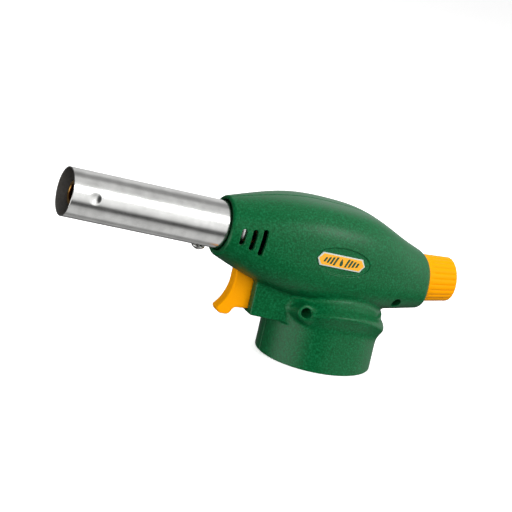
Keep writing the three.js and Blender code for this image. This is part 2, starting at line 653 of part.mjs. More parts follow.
// ---- Igniter and trigger ------------------------------------------------------------------------
function piezoBody() {
  const { front, rear, bottom, top, width } = PIEZO;
  const body = solid(block(front, rear, -width / 2, width / 2, bottom, top));
  const bore = solid(rod('X', PLUNGER.bore, front - 1, PLUNGER.boreEnd, 20).translate(0, 0, PLUNGER.z));
  return surface(body.subtract(bore));
}
piece('piezo_body', piezoBody(), finish(0x202226, 0.5, 0));
piece('piezo_plunger', rod('X', PLUNGER.radius, TRIGGER.rear + GAP, PLUNGER.rear, 20),
  finish(0xd8d8d4, 0.5, 0), torch, [0, 0, PLUNGER.z]);

function ignitionWire() {
  const route = [
    [PIEZO.rear - 2, 3.2, PIEZO.top + 0.3], [-13.2, 4.2, 42], [-15.5, 6.5, 49], [-21, 8.2, 56.5],
    [-28, 7.2, 61.2], [-34, 3.6, 63.2], [-38, 0.8, 63.7], [-40.8, 0, 63.98],
  ].map((point) => new THREE.Vector3(...point));
  const section = new THREE.Shape().absarc(0, 0, 1.1, 0, 2 * Math.PI);
  const extrudePath = new THREE.CatmullRomCurve3(route);
  const sweep = { steps: 22, curveSegments: 2, bevelEnabled: false, extrudePath };
  return new THREE.ExtrudeGeometry(section, sweep);
}
piece('ignition_wire', ignitionWire(), finish(0xb02018, 0.5, 0));

// The side view: a concave finger rest, a hooked toe and a square back that slides in the housing.
function triggerForm() {
  const { width, front, rear, bottom, top } = TRIGGER;
  const outline = new THREE.Shape();
  outline.moveTo(front, top);
  outline.lineTo(front, 34);
  outline.quadraticCurveTo(-48.3, 29.3, -50.6, 24.8);
  outline.quadraticCurveTo(-51.6, 22.7, -53.6, 20.6);
  outline.quadraticCurveTo(-54.6, 19.6, -53.7, 18.4);
  outline.quadraticCurveTo(-52.8, 17.0, -50.8, 17.0);
  outline.lineTo(-49.4, 16.9);
  outline.quadraticCurveTo(-47.6, 16.9, -46.8, 18.6);
  outline.quadraticCurveTo(-46.0, bottom, -44.4, bottom);
  outline.lineTo(rear, bottom);
  outline.lineTo(rear, top);
  outline.closePath();
  return plate(outline, width);
}
piece('trigger', triggerForm(), ORANGE);

export default torch;
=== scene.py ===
"""The looks of a hand-held gas torch head, built over its CAD frame.

Shapes are worked out in millimetres in the frame's own axes: +Z up the cartridge's axis, -X towards the
flame, +X towards the knob. The moulded parts are distance fields, negative inside, meshed on a fine grid.
"""

import json
import math
from collections import namedtuple
from concurrent.futures import ThreadPoolExecutor

import bpy
import numpy as np
import openvdb
from mathutils import Matrix, Vector


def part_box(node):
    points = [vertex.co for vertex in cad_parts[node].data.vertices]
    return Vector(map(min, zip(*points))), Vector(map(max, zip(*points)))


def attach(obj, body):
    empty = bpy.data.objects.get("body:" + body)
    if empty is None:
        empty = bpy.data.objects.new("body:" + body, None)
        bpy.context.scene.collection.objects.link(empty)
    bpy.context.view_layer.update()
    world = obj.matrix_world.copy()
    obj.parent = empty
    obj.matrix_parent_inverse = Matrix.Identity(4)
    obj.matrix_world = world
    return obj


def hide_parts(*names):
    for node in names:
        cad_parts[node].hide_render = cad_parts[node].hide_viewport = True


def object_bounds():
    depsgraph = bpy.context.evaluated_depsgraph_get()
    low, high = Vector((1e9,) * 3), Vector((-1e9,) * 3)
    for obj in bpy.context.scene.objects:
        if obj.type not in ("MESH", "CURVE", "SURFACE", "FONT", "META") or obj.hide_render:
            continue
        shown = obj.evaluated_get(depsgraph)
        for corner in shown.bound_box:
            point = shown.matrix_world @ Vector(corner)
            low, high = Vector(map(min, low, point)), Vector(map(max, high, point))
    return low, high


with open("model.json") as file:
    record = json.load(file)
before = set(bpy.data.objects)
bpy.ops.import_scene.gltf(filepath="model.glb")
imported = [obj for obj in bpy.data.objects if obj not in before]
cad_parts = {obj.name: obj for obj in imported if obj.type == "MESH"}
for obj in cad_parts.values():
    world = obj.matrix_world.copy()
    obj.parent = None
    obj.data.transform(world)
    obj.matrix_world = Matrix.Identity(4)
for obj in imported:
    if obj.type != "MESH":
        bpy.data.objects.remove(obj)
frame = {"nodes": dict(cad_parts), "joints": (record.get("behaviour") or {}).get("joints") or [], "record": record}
CAD_BOUNDS = [list(corner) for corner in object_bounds()]
MM = 0.001

# ---- Lines and places taken from the frame ----
Line = namedtuple("Line", "origin ahead across up")


def vertices(node):
    """The corners of a CAD node, in millimetres."""
    return np.array([v.co for v in frame["nodes"][node].data.vertices]) / MM


def centre(node):
    low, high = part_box(node)
    return np.array(low + high) / 2 / MM


def box_of(node):
    """The low and high corners of a CAD node's box, in millimetres."""
    return [np.array(corner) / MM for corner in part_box(node)]


def line(origin, ahead):
    """A line with two directions square to it. `across` is level and `up` is the steepest."""
    ahead = np.array(ahead, float) / np.linalg.norm(ahead)
    level = np.cross((0, 0, 1), ahead) if abs(ahead[2]) < 0.99 else np.array((0.0, 1.0, 0.0))
    across = level / np.linalg.norm(level)
    return Line(np.array(origin, float), ahead, across, np.cross(ahead, across))


def along(axis, points):
    """How far points lie along a line, and to its two sides."""
    away = points - axis.origin
    return away @ axis.ahead, away @ axis.across, away @ axis.up


def span(node, axis):
    """Where a turned CAD node starts and ends along its line, and its radius."""
    ahead, across, up = along(axis, vertices(node))
    return ahead.min(), ahead.max(), np.hypot(across, up).max()


JOINTS = {joint["name"]: joint for joint in frame["joints"]}
KNOB_LINE = line(np.array(JOINTS["knob_turn"]["pos_m"]) / MM, JOINTS["knob_turn"]["axis"])
RING_CENTRES = centre("rear_centring_ring"), centre("front_centring_ring")
FLAME_AHEAD = RING_CENTRES[1] - RING_CENTRES[0]
# The burner's line starts where it crosses the cartridge's axis.
FLAME_LINE = line(RING_CENTRES[0] - FLAME_AHEAD * RING_CENTRES[0][0] / FLAME_AHEAD[0], FLAME_AHEAD)
CARTRIDGE_LINE = line((0, 0, 0), (0, 0, 1))
FLAME_TILT = math.atan2(FLAME_LINE.ahead[2], -FLAME_LINE.ahead[0])
KNOB_TILT = math.atan2(KNOB_LINE.ahead[2], KNOB_LINE.ahead[0])

# ---- Distance fields ----
# Each field takes x, y and z in millimetres and gives the distance to a surface, negative inside it.


def meet(a, b, radius=0.0):
    """Where both are solid, with the edge between them rounded."""
    if np.ndim(radius) == 0 and radius == 0:
        return np.maximum(a, b)
    a, b = a + radius, b + radius
    return np.minimum(np.maximum(a, b), 0) + np.hypot(np.maximum(a, 0), np.maximum(b, 0)) - radius


def join(a, b, radius=0.0):
    """Where either is solid, with a fillet between them."""
    return -meet(-a, -b, radius)


def carve(a, b, radius=0.0):
    """The first without the second, with the edge rounded."""
    return meet(a, -b, radius)


def between(start, end, value):
    """How far a value is outside a span, negative inside it."""
    return np.abs(value - (start + end) / 2) - (end - start) / 2


def about(axis, x, y, z):
    """The same measures as `along`, for coordinates given apart."""
    away = [p - o for p, o in zip((x, y, z), axis.origin)]
    return [sum(a * d for a, d in zip(away, way)) for way in axis[1:]]


def rod(radius, start, end, axis, edge=0.0):
    """A round bar between two places on a line."""
    def field(x, y, z):
        ahead, across, up = about(axis, x, y, z)
        return meet(np.hypot(across, up) - radius, between(start, end, ahead), edge)
    return field


def block(low, high, edge=0.0):
    """A box between two corners."""
    middle = (np.array(low) + np.array(high)) / 2
    half = (np.array(high) - np.array(low)) / 2

    def field(x, y, z):
        sides = [np.abs(p - m) - h for p, m, h in zip((x, y, z), middle, half)]
        return meet(meet(sides[0], sides[1], edge), sides[2], edge)
    return field


def outline_distance(points, u, v):
    """The distance from (u, v) to a closed outline, negative inside."""
    nearest = np.full(u.shape, np.inf)
    inside = np.zeros(u.shape, bool)
    for (u0, v0), (u1, v1) in zip(points, np.roll(points, -1, axis=0)):
        du, dv = u1 - u0, v1 - v0
        share = np.clip(((u - u0) * du + (v - v0) * dv) / (du * du + dv * dv), 0, 1)
        nearest = np.minimum(nearest, np.hypot(u - u0 - share * du, v - v0 - share * dv))
        if dv:
            inside ^= ((v0 > v) != (v1 > v)) & (u < u0 + (v - v0) / dv * du)
    return np.where(inside, -nearest, nearest)


def curve(start, control, end, steps=10):
    """Points of a quadratic curve, without its start."""
    share = np.arange(1, steps + 1)[:, None] / steps
    start, control, end = (np.array(p, float) for p in (start, control, end))
    return list((1 - share) ** 2 * start + 2 * share * (1 - share) * control + share ** 2 * end)


def spline(knots, values):
    """A curve through the values with no sudden change of bend."""
    knots, values = np.array(knots, float), np.array(values, float)
    step = np.diff(knots)
    system = np.eye(len(knots))
    target = np.zeros(len(knots))
    for i in range(1, len(knots) - 1):
        system[i, i - 1:i + 2] = step[i - 1], 2 * (step[i - 1] + step[i]), step[i]
        target[i] = 6 * ((values[i + 1] - values[i]) / step[i] - (values[i] - values[i - 1]) / step[i - 1])
    bend = np.linalg.solve(system, target)

    def at(x):
        i = np.clip(np.searchsorted(knots, x) - 1, 0, len(knots) - 2)
        b = (x - knots[i]) / step[i]
        a = 1 - b
        bulge = ((a ** 3 - a) * bend[i] + (b ** 3 - b) * bend[i + 1]) * step[i] ** 2 / 6
        return a * values[i] + b * values[i + 1] + bulge
    return at


# ---- From fields to meshes ----
BLOCK_CELLS = 4                  # the grid is filled in blocks, and only where the surface passes
POOL = ThreadPoolExecutor(4)


def evaluated(field, points):
    """The field at many points, shared out between threads."""
    points_in_part = 50000
    parts = np.array_split(points.astype(np.float32), max(1, len(points) // points_in_part))
    return np.concatenate(list(POOL.map(lambda part: field(*part.T), parts)))


def corners_of(counts):
    """The whole-number corners of a grid."""
    return np.stack(np.meshgrid(*[np.arange(c) for c in counts], indexing="ij"), -1).reshape(-1, 3)


def sampled(field, low, cell, counts):
    """The field on a grid, worked out only in the blocks that its surface passes through."""
    blocks = [math.ceil(c / BLOCK_CELLS) for c in counts]
    corners = corners_of(blocks)
    rough = evaluated(field, low + (corners * BLOCK_CELLS + (BLOCK_CELLS - 1) / 2) * cell)
    reach = BLOCK_CELLS * cell * 1.2
    grid = np.clip(rough, -reach, reach).reshape(blocks)
    for axis in range(3):
        grid = np.repeat(grid, BLOCK_CELLS, axis)
    near = corners[np.abs(rough) < reach] * BLOCK_CELLS
    index = (near[:, None] + corners_of([BLOCK_CELLS] * 3)).reshape(-1, 3)
    grid[tuple(index.T)] = evaluated(field, low + index * cell)
    return grid.astype(np.float32)


def gradient(field, points, step=0.04):
    """How fast the field rises along each axis."""
    ways = np.eye(3) * step
    rise = [evaluated(field, points + w) - evaluated(field, points - w) for w in ways]
    return np.stack(rise, -1) / (2 * step)


def mesh_of_field(name, field, low, high, cell, adaptivity=0.0):
    """A mesh of the surface where a field is zero, with its vertices and normals set by the field."""
    low, high = np.array(low, float) - 2 * cell, np.array(high, float) + 2 * cell
    counts = [int(c) + 1 for c in (high - low) / cell]
    volume = openvdb.FloatGrid(background=2 * cell)
    volume.copyFromArray(sampled(field, low, cell, counts))
    points, triangles, quads = volume.convertToPolygons(0.0, adaptivity)
    points = low + points.astype(float) * cell
    slope = gradient(field, points)
    shift = -evaluated(field, points) / np.maximum((slope ** 2).sum(1), 0.25)
    points += slope * np.clip(shift, -cell / 2, cell / 2)[:, None]
    faces = [*triangles, *quads]
    normals = gradient(field, points)
    normals /= np.maximum(np.linalg.norm(normals, axis=1), 1e-9)[:, None]
    return new_piece(name, points, faces, normals)


def added(name, data):
    """A new object in the scene."""
    thing = bpy.data.objects.new(name, data)
    bpy.context.scene.collection.objects.link(thing)
    return thing


def new_piece(name, points, faces, normals=None):
    """An object of points in millimetres. It sits at the origin, as the CAD nodes do."""
    mesh = bpy.data.meshes.new(name)
    mesh.from_pydata((np.array(points) * MM).tolist(), [], [list(map(int, f)) for f in faces])
    mesh.validate()
    mesh.shade_smooth()
    if normals is not None and len(mesh.vertices) == len(normals):
        mesh.normals_split_custom_set_from_vertices(normals.tolist())
    return added(name, mesh)


def standing_for(piece, body, slot, material, *nodes):
    """Finishes a piece: it rides on a body, takes a material, and stands for CAD nodes."""
    piece.data.materials.append(material)
    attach(piece, body)
    if nodes:
        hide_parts(*nodes)
    return piece


# ---- The shells' outer form ----
# Sections of the hand piece across X: [x, top, bottom, half width, superellipse exponent].
BODY_STATIONS = np.array([
    [-59.75, 71.1, 43.9, 13.8, 2.0],
    [-45, 73.5, 37.3, 19.0, 2.4],
    [-25, 75.3, 31.2, 23.6, 2.9],
    [-5, 73.9, 28.4, 25.0, 3.1],
    [15, 69.7, 28.0, 23.2, 3.0],
    [32, 61.5, 28.6, 18.8, 2.7],
    [45.5, 55.4, 29.2, 14.0, 2.4],
])
BODY_X = BODY_STATIONS[:, 0]
TOP, BOTTOM, HALF_WIDTH, EXPONENT = (spline(BODY_X, column) for column in BODY_STATIONS.T[1:])
MOUTH = 60.0                     # the shells' mouth, along the burner's line
REAR_FACE = 0.5                  # the shells' rear face, along the knob's line
MOUTH_EDGE, REAR_EDGE = 0.9, 3.2
WALL = 2.0

COLLAR_RADIUS, SOCKET_RADIUS, SOCKET_TOP, WEB_TOP = 27.3, 25.1, 10.5, 12.5
# The ring around the neck. Its crest is highest at x = `top` and droops both ways from there. Its
# underside starts on the collar, `under` below the crest. Its rounding and reach grow towards the
# knob, up to `knob_reach` from the top, and it runs out into the collar towards the trigger.
RING = {"radius": 30.4, "crest": 28.4, "under": 7.2, "slope": math.radians(61), "edge": 1.0,
        "top": -2, "knob_reach": 28, "softer_to_knob": 2.6, "wider_to_knob": 1.2,
        "droop_to_knob": 0.0095, "droop_to_trigger": 0.0055, "fade_from": 17, "fade_to": 28}
NECK_RADIUS, NECK_NARROW, NECK_BASE, NECK_FROM, NECK_TO = 25.9, 22.4, 16.0, 27.0, 34.0
RIM_EDGE, NECK_EDGE = 0.5, 1.0
RING_FILLET, NECK_FILLET, BODY_FILLET, HOUSING_FILLET, BOSS_FILLET = 0.7, 1.6, 2.6, 1.4, 3.0
HOUSING = {"front": -39.4, "front_half": 7.8, "rear": -22.0, "rear_half": 15.0, "bottom": 19.0, "top": 38.0}


def body(x, y, z):
    """The plump hand piece, whose sections lean with the flame in front and with the knob behind."""
    station = x
    for _ in range(3):
        place = np.clip(station, BODY_X[0], BODY_X[-1])
        lean = np.interp(place, (BODY_X[0], BODY_X[-1]), (FLAME_TILT, -KNOB_TILT))
        middle = (TOP(place) + BOTTOM(place)) / 2
        station = x - (z - middle) * np.tan(lean)
    place = np.clip(station, BODY_X[0], BODY_X[-1])
    top, bottom, half, power = (curve_of(place) for curve_of in (TOP, BOTTOM, HALF_WIDTH, EXPONENT))
    rise = (top - bottom) / 2
    wide = np.abs(y) / half
    high = np.abs(z - (top + bottom) / 2) / rise
    reach = np.maximum((wide ** power + high ** power) ** (1 / power), 0.05)
    slope = np.hypot((wide / reach) ** (power - 1) / half, (high / reach) ** (power - 1) / rise)
    return (reach - 1) / slope


def distance_ahead(axis, x, y, z):
    return sum((p - o) * d for p, o, d in zip((x, y, z), axis.origin, axis.ahead))


def hand_piece(sides, x, y, z, inset=0.0):
    """The body, whose sides are given, with its ends cut off. `inset` makes it smaller all round."""
    sides = sides + inset
    front = distance_ahead(FLAME_LINE, x, y, z) - MOUTH + inset
    rear = distance_ahead(KNOB_LINE, x, y, z) - REAR_FACE + inset
    return meet(meet(sides, front, MOUTH_EDGE if inset == 0 else 0), rear, REAR_EDGE if inset == 0 else 0)


def collar(x, y, z):
    """The cartridge collar, the drooping ring around it and the neck above."""
    radius = np.hypot(x, y)
    tube = meet(radius - COLLAR_RADIUS, between(0, NECK_FROM, z), RIM_EDGE)
    away = x - RING["top"]
    crest = RING["crest"] - np.where(away > 0, RING["droop_to_knob"], RING["droop_to_trigger"]) * away ** 2
    fade = np.clip((-x - RING["fade_from"]) / (RING["fade_to"] - RING["fade_from"]), 0, 1)
    overhang = RING["radius"] - COLLAR_RADIUS
    lean = math.atan2(overhang, RING["under"])
    underside = (radius - COLLAR_RADIUS) * math.cos(lean) - (z - crest + RING["under"]) * math.sin(lean)
    underside = underside + overhang * fade ** 2 * (3 - 2 * fade)
    to_knob = np.clip(away / RING["knob_reach"], 0, 1) ** 2
    edge = RING["edge"] + RING["softer_to_knob"] * to_knob
    corner = RING["radius"] + edge / 4 + RING["wider_to_knob"] * to_knob
    upper = (radius - corner) * math.cos(RING["slope"]) + (z - crest) * math.sin(RING["slope"])
    ring = meet(meet(underside, upper, edge), WEB_TOP - z)
    narrowing = (NECK_RADIUS - NECK_NARROW) * np.clip((z - NECK_FROM) / (NECK_TO - NECK_FROM), 0, 1) ** 1.5
    neck = meet(radius - NECK_RADIUS + narrowing, between(NECK_BASE, NECK_TO, z), NECK_EDGE)
    return join(join(tube, ring, RING_FILLET), neck, NECK_FILLET)


def wedge(x, y, z, inset=0.0, bottom=HOUSING["bottom"], rear=HOUSING["rear"], edge=0.6):
    """The trigger's housing, which widens towards the neck."""
    run = HOUSING["rear"] - HOUSING["front"]
    flare = math.atan2(HOUSING["rear_half"] - HOUSING["front_half"], run)
    side = (np.abs(y) - HOUSING["front_half"]) * math.cos(flare)
    side = side - (x - HOUSING["front"]) * math.sin(flare) + inset
    plan = meet(side, HOUSING["front"] + inset - x, edge)
    height = np.maximum(bottom - z, z - HOUSING["top"])
    return meet(meet(plan, height, edge), x - rear)


def outside(sides, x, y, z):
    """The two shells' outer form: hand piece, collar, trigger housing and front screw boss."""
    whole = join(hand_piece(sides, x, y, z), collar(x, y, z), BODY_FILLET)
    whole = join(whole, wedge(x, y, z), HOUSING_FILLET)
    boss_line = screw_line("shell_screw_front")
    boss = rod(SCREW_BOSS["radius"], SCREW_BOSS["face"], SCREW_BOSS["root"], boss_line, SCREW_BOSS["edge"])
    return join(whole, boss(x, y, z), BOSS_FILLET)


# ---- What is cut out of the shells ----
MOUTH_BORE, TUBE_SEAT = 11.8, 11.3
MOUTH_LIP, SEAT_DEPTH = 1.8, 8   # how far the bore and the seat reach in from the mouth
REAR_OPENING, REAR_DEPTH = 11.8, 8
NIPPLE_HOLE = 8
PAST = 5                         # how far a cut reaches past the face that it opens
BEYOND = 60                      # further out than any side of the shells
CUT_EDGE = 0.3                   # rounding where a cut opens on a surface
WELL_EDGE = 0.35
VENTS = [(-54.3, 57.1, 7.4), (-49.75, 56.6, 9.6), (-45.5, 56.2, 12.0)]      # x, z and length
VENT_WIDTH, VENT_DEPTH_TO = 2.2, 10
SCREW_WELL, WELL_WALL = 2.3, 1.2
SHELL_BOSS, SCREW_HOLE, PILOT_HOLE, PILOT_DEPTH = 2.7, 1.7, 1.5, 14
BAYONET_BOSS, BAYONET_PILOT, BAYONET_BOSS_TOP, BAYONET_PILOT_TOP = 3.2, 1.4, 19, 18
# The front well opens in the flat face of its boss, which is rooted inside the neck.
SCREW_BOSS = {"radius": 3.8, "face": -22.6, "root": -10, "edge": 1.0}
# The walls across the shells, between two places along X and from a height up, with a hole for the
# valve body or the jet holder. The jet's wall also has a notch for the ignition wire.
VALVE_WALL = {"from": 13, "to": 15, "bottom": 20, "hole": 7.8}
JET_WALL = {"from": -27.2, "to": -25.2, "bottom": 47, "hole": 6.4}
WALL_HALF_WIDTH, WALL_TOP = 40, 90
WIRE_NOTCH = (-28, 4, 54), (-24, 12, 66)
RECESS = {"x": -7.8, "z": 53.1, "half_length": 14.0, "half_height": 6.3, "floor": -23.9}
BADGE_TILT = math.radians(5)
PARTING = 0.12                   # each shell ends this far from the plane between them
SEAM_EDGE = 0.5                  # rounding of the shells' edges along it
TRIGGER_LOW, TRIGGER_HIGH = box_of("trigger")
TRIGGER_FRONT, TRIGGER_BOTTOM = -48.4, 20.5        # of its straight part, above and behind the toe
# The play around the trigger in its slot, and how far back the slot goes.
TRIGGER_ROOM = {"side": 0.35, "above": 0.5, "ahead": 0.7, "below": 0.4, "rear": -30}
HEAD_HEIGHT = 1.6                # of the shell screws
SHELL_SCREWS = {name: centre(name) for name in ("shell_screw_front", "shell_screw_rear")}
SCREW_SEATS = {name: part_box(name)[0].y / MM + HEAD_HEIGHT for name in SHELL_SCREWS}
BAYONET_SCREWS = [f"bayonet_screw_{i}" for i in (1, 2, 3, 4)]


def hollow(sides, x, y, z):
    """Everything that is open inside the two shells."""
    room = hand_piece(sides, x, y, z, WALL)
    narrow_from, wide_to = 20, 25
    into_neck = 4
    neck_room = rod(NECK_RADIUS - WALL, WEB_TOP, wide_to, CARTRIDGE_LINE)
    neck_top = rod(NECK_NARROW - WALL, narrow_from, NECK_TO, CARTRIDGE_LINE)
    seat = rod(TUBE_SEAT, MOUTH - SEAT_DEPTH, MOUTH + PAST, FLAME_LINE)
    mouth = rod(MOUTH_BORE, MOUTH - MOUTH_LIP, MOUTH + PAST, FLAME_LINE)
    knob_hole = rod(REAR_OPENING, -REAR_DEPTH, REAR_DEPTH, KNOB_LINE)
    nipple_hole = rod(NIPPLE_HOLE, -1, narrow_from, CARTRIDGE_LINE)
    for part in (neck_room, neck_top, seat, knob_hole, nipple_hole):
        room = join(room, part(x, y, z))
    room = join(room, wedge(x, y, z, WALL, HOUSING["bottom"] + WALL, HOUSING["rear"] + into_neck))
    return join(room, mouth(x, y, z), CUT_EDGE)


def socket(x, y, z):
    """The room for the cartridge inside the collar."""
    return rod(SOCKET_RADIUS, -PAST, SOCKET_TOP, CARTRIDGE_LINE)(x, y, z)


def trigger_slot(x, y, z):
    """The way in for the trigger, with play all round it."""
    side = TRIGGER_ROOM["side"]
    low = (TRIGGER_FRONT - TRIGGER_ROOM["ahead"], TRIGGER_LOW[1] - side,
           TRIGGER_BOTTOM - TRIGGER_ROOM["below"])
    high = (TRIGGER_ROOM["rear"], TRIGGER_HIGH[1] + side, TRIGGER_HIGH[2] + TRIGGER_ROOM["above"])
    return block(low, high, CUT_EDGE)(x, y, z)


def vents(x, y, z):
    """The round-ended air slots on both sides, upright to the flame tube."""
    nearest = np.full(np.shape(x + y + z), np.inf)
    for vent_x, vent_z, length in VENTS:
        ahead = (x - vent_x) * math.cos(FLAME_TILT) - (z - vent_z) * math.sin(FLAME_TILT)
        up = (x - vent_x) * math.sin(FLAME_TILT) + (z - vent_z) * math.cos(FLAME_TILT)
        past = np.maximum(np.abs(up) - (length - VENT_WIDTH) / 2, 0)
        nearest = np.minimum(nearest, np.hypot(ahead, past) - VENT_WIDTH / 2)
    return np.maximum(nearest, VENT_DEPTH_TO - np.abs(y))


def badge_recess(x, y, z):
    """The shallow oval that the badge lies in."""
    length, height = RECESS["half_length"], RECESS["half_height"]
    ahead, up = on_badge(x, z, RECESS["x"], RECESS["z"])
    reach = np.hypot(ahead / length, up / height)
    slope = np.hypot(ahead / length ** 2, up / height ** 2) / np.maximum(reach, 0.05)
    oval = (reach - 1) / np.maximum(slope, 0.02)
    return meet(oval, y - RECESS["floor"], CUT_EDGE)


def on_badge(x, z, middle_x, middle_z):
    """How far ahead and up points lie from a middle, square to the badge's tilt."""
    ahead = (x - middle_x) * math.cos(BADGE_TILT) - (z - middle_z) * math.sin(BADGE_TILT)
    up = (x - middle_x) * math.sin(BADGE_TILT) + (z - middle_z) * math.cos(BADGE_TILT)
    return ahead, up


def cross_wall(wall):
    """A wall across the shells, without its hole."""
    return block((wall["from"], -WALL_HALF_WIDTH, wall["bottom"]), (wall["to"], WALL_HALF_WIDTH, WALL_TOP))


def upright_through(node):
    """The upright line through a CAD node's middle."""
    return line((*centre(node)[:2], 0), (0, 0, 1))


def screw_line(name):
    """A shell screw's line, square to the parting plane."""
    return line((SHELL_SCREWS[name][0], 0, SHELL_SCREWS[name][2]), (0, 1, 0))


def shell_field(side):
    """One of the two shells. The left one, at side -1, has the badge and the wells of the screws."""
    bayonet_lines = [upright_through(name) for name in BAYONET_SCREWS]
    valve_wall, jet_wall = cross_wall(VALVE_WALL), cross_wall(JET_WALL)
    valve_hole = rod(VALVE_WALL["hole"], -BEYOND, 0, KNOB_LINE)
    jet_hole = rod(JET_WALL["hole"], 10, BEYOND, FLAME_LINE)
    wire_notch = block(*WIRE_NOTCH)

    def supports(sides, shape, x, y, z):
        """Screw bosses and cross walls inside the shell."""
        walls = join(carve(valve_wall(x, y, z), valve_hole(x, y, z)),
                     carve(carve(jet_wall(x, y, z), jet_hole(x, y, z)), wire_notch(x, y, z)))
        found = meet(walls, hand_piece(sides, x, y, z, WALL / 2))
        for name in SHELL_SCREWS:
            seat = SCREW_SEATS[name]
            if side < 0:
                well_wall = rod(SCREW_WELL + WELL_WALL, -BEYOND, seat + WALL, screw_line(name))
                found = join(found, well_wall(x, y, z))
                found = join(found, rod(SHELL_BOSS, seat, 0, screw_line(name))(x, y, z))
            else:
                found = join(found, rod(SHELL_BOSS, 0, BEYOND, screw_line(name))(x, y, z))
        found = meet(meet(found, WEB_TOP - 0.5 - z), shape)
        for axis in bayonet_lines:
            found = join(found, rod(BAYONET_BOSS, SOCKET_TOP, BAYONET_BOSS_TOP, axis)(x, y, z), 0.4)
        return found

    def field(x, y, z):
        sides = body(x, y, z)
        shape = outside(sides, x, y, z)
        walls = carve(carve(shape, hollow(sides, x, y, z), CUT_EDGE), socket(x, y, z), WELL_EDGE)
        solid = join(carve(walls, trigger_slot(x, y, z), CUT_EDGE), supports(sides, shape, x, y, z))
        for axis in bayonet_lines:
            solid = carve(solid, rod(BAYONET_PILOT, 0, BAYONET_PILOT_TOP, axis)(x, y, z))
        for name in SHELL_SCREWS:
            if side < 0:
                well = rod(SCREW_WELL, -BEYOND, SCREW_SEATS[name], screw_line(name))
                solid = carve(solid, well(x, y, z), WELL_EDGE)
                solid = carve(solid, rod(SCREW_HOLE, -BEYOND, 1, screw_line(name))(x, y, z))
            else:
                solid = carve(solid, rod(PILOT_HOLE, -1, PILOT_DEPTH, screw_line(name))(x, y, z))
        solid = carve(solid, vents(x, y, z), CUT_EDGE)
        if side < 0:
            solid = carve(solid, badge_recess(x, y, z), CUT_EDGE)
        return meet(solid, PARTING - side * y, SEAM_EDGE)
    return field


# ---- Moulded parts ----
SHELL_CELL = 0.3
ADAPTIVITY = 0.03                # how far the mesh may thin out where a surface is nearly flat


def make_shells(green):
    for node, side in (("left_shell", -1), ("right_shell", 1)):
        low, high = box_of(node)
        shell = mesh_of_field(f"{node}_moulding", shell_field(side), low, high, SHELL_CELL, ADAPTIVITY)
        standing_for(shell, "root", "shell_plastic", green, node)


def trigger_outline():
    """The trigger from the side: a concave finger rest, a hooked toe and a square back."""
    rear, top = TRIGGER_HIGH[0], TRIGGER_HIGH[2]
    straight_to, foot = (TRIGGER_FRONT, 34), (-44.4, TRIGGER_BOTTOM)
    rest, toe_top, toe_tip = (-50.6, 24.8), (-53.6, 20.6), (-53.7, 18.4)
    toe_front, toe_rear, heel = (-50.8, 17.0), (-49.4, 16.9), (-46.8, 18.6)
    points = [(TRIGGER_FRONT, top), straight_to]
    points += curve(straight_to, (-48.3, 29.3), rest)
    points += curve(rest, (-51.6, 22.7), toe_top)
    points += curve(toe_top, (-54.6, 19.6), toe_tip)
    points += curve(toe_tip, (-52.8, 17.0), toe_front)
    points += curve(toe_rear, (-47.6, 16.9), heel)
    points += curve(heel, (-46.0, TRIGGER_BOTTOM), foot)
    return np.array([tuple(p) for p in points + [(rear, TRIGGER_BOTTOM), (rear, top)]])


def make_trigger(orange):
    outline = trigger_outline()
    half = TRIGGER_HIGH[1]
    edge = 0.9

    def field(x, y, z):
        return meet(outline_distance(outline, x, z), np.abs(y) - half, edge)
    trigger = mesh_of_field("trigger_lever", field, TRIGGER_LOW, TRIGGER_HIGH, 0.2, ADAPTIVITY)
    standing_for(trigger, "trigger", "control_plastic", orange, "trigger")


# ---- Badge ----
BADGE_LOW, BADGE_HIGH = box_of("badge")
BADGE = {"half_length": 12.1, "corner": 10.2, "half_height": 3.1, "border": 0.55}
BADGE_CELL = 0.12


def badge_outline(inset):
    """A long hexagon, smaller all round by the inset."""
    length, corner, height = (BADGE[key] - inset for key in ("half_length", "corner", "half_height"))
    return np.array([(-length, 0), (-corner, -height), (corner, -height),
                     (length, 0), (corner, height), (-corner, height)])


def badge_layer(name, outlines, back, front, edge):
    """A flat layer of the badge: outlines in its own plane, between two places along Y."""
    middle = (BADGE_LOW + BADGE_HIGH) / 2

    def field(x, y, z):
        ahead, up = on_badge(x, z, middle[0], middle[2])
        flat = np.minimum.reduce([outline_distance(outline, ahead, up) for outline in outlines])
        return meet(flat, between(front, back, y), edge)
    low, high = BADGE_LOW.copy(), BADGE_HIGH.copy()
    low[1], high[1] = front, back
    return mesh_of_field(name, field, low, high, BADGE_CELL, ADAPTIVITY)


def badge_marks():
    """A made-up device in place of a name: a drop of flame between slanted bars of falling height."""
    marks = []
    bars, first, pitch, slant, wide = 4, 2.9, 1.75, 0.35, 0.52
    tallest, falls_by = 2.0, 0.3
    drop_width, drop_height, drop_taper = 1.15, 1.9, 1.4
    for side in (-1, 1):
        for i in range(bars):
            middle = side * (first + pitch * i)
            half = tallest - falls_by * i
            foot, head = middle - slant * half, middle + slant * half
            marks.append(np.array([(foot - wide, -half), (foot + wide, -half),
                                   (head + wide, half), (head - wide, half)]))
    turn = np.linspace(0, 2 * math.pi, 24, endpoint=False)
    width = drop_width * np.sin(turn) * np.sin(turn / 2) ** drop_taper
    marks.append(np.stack([width, drop_height * np.cos(turn)], -1))
    return marks


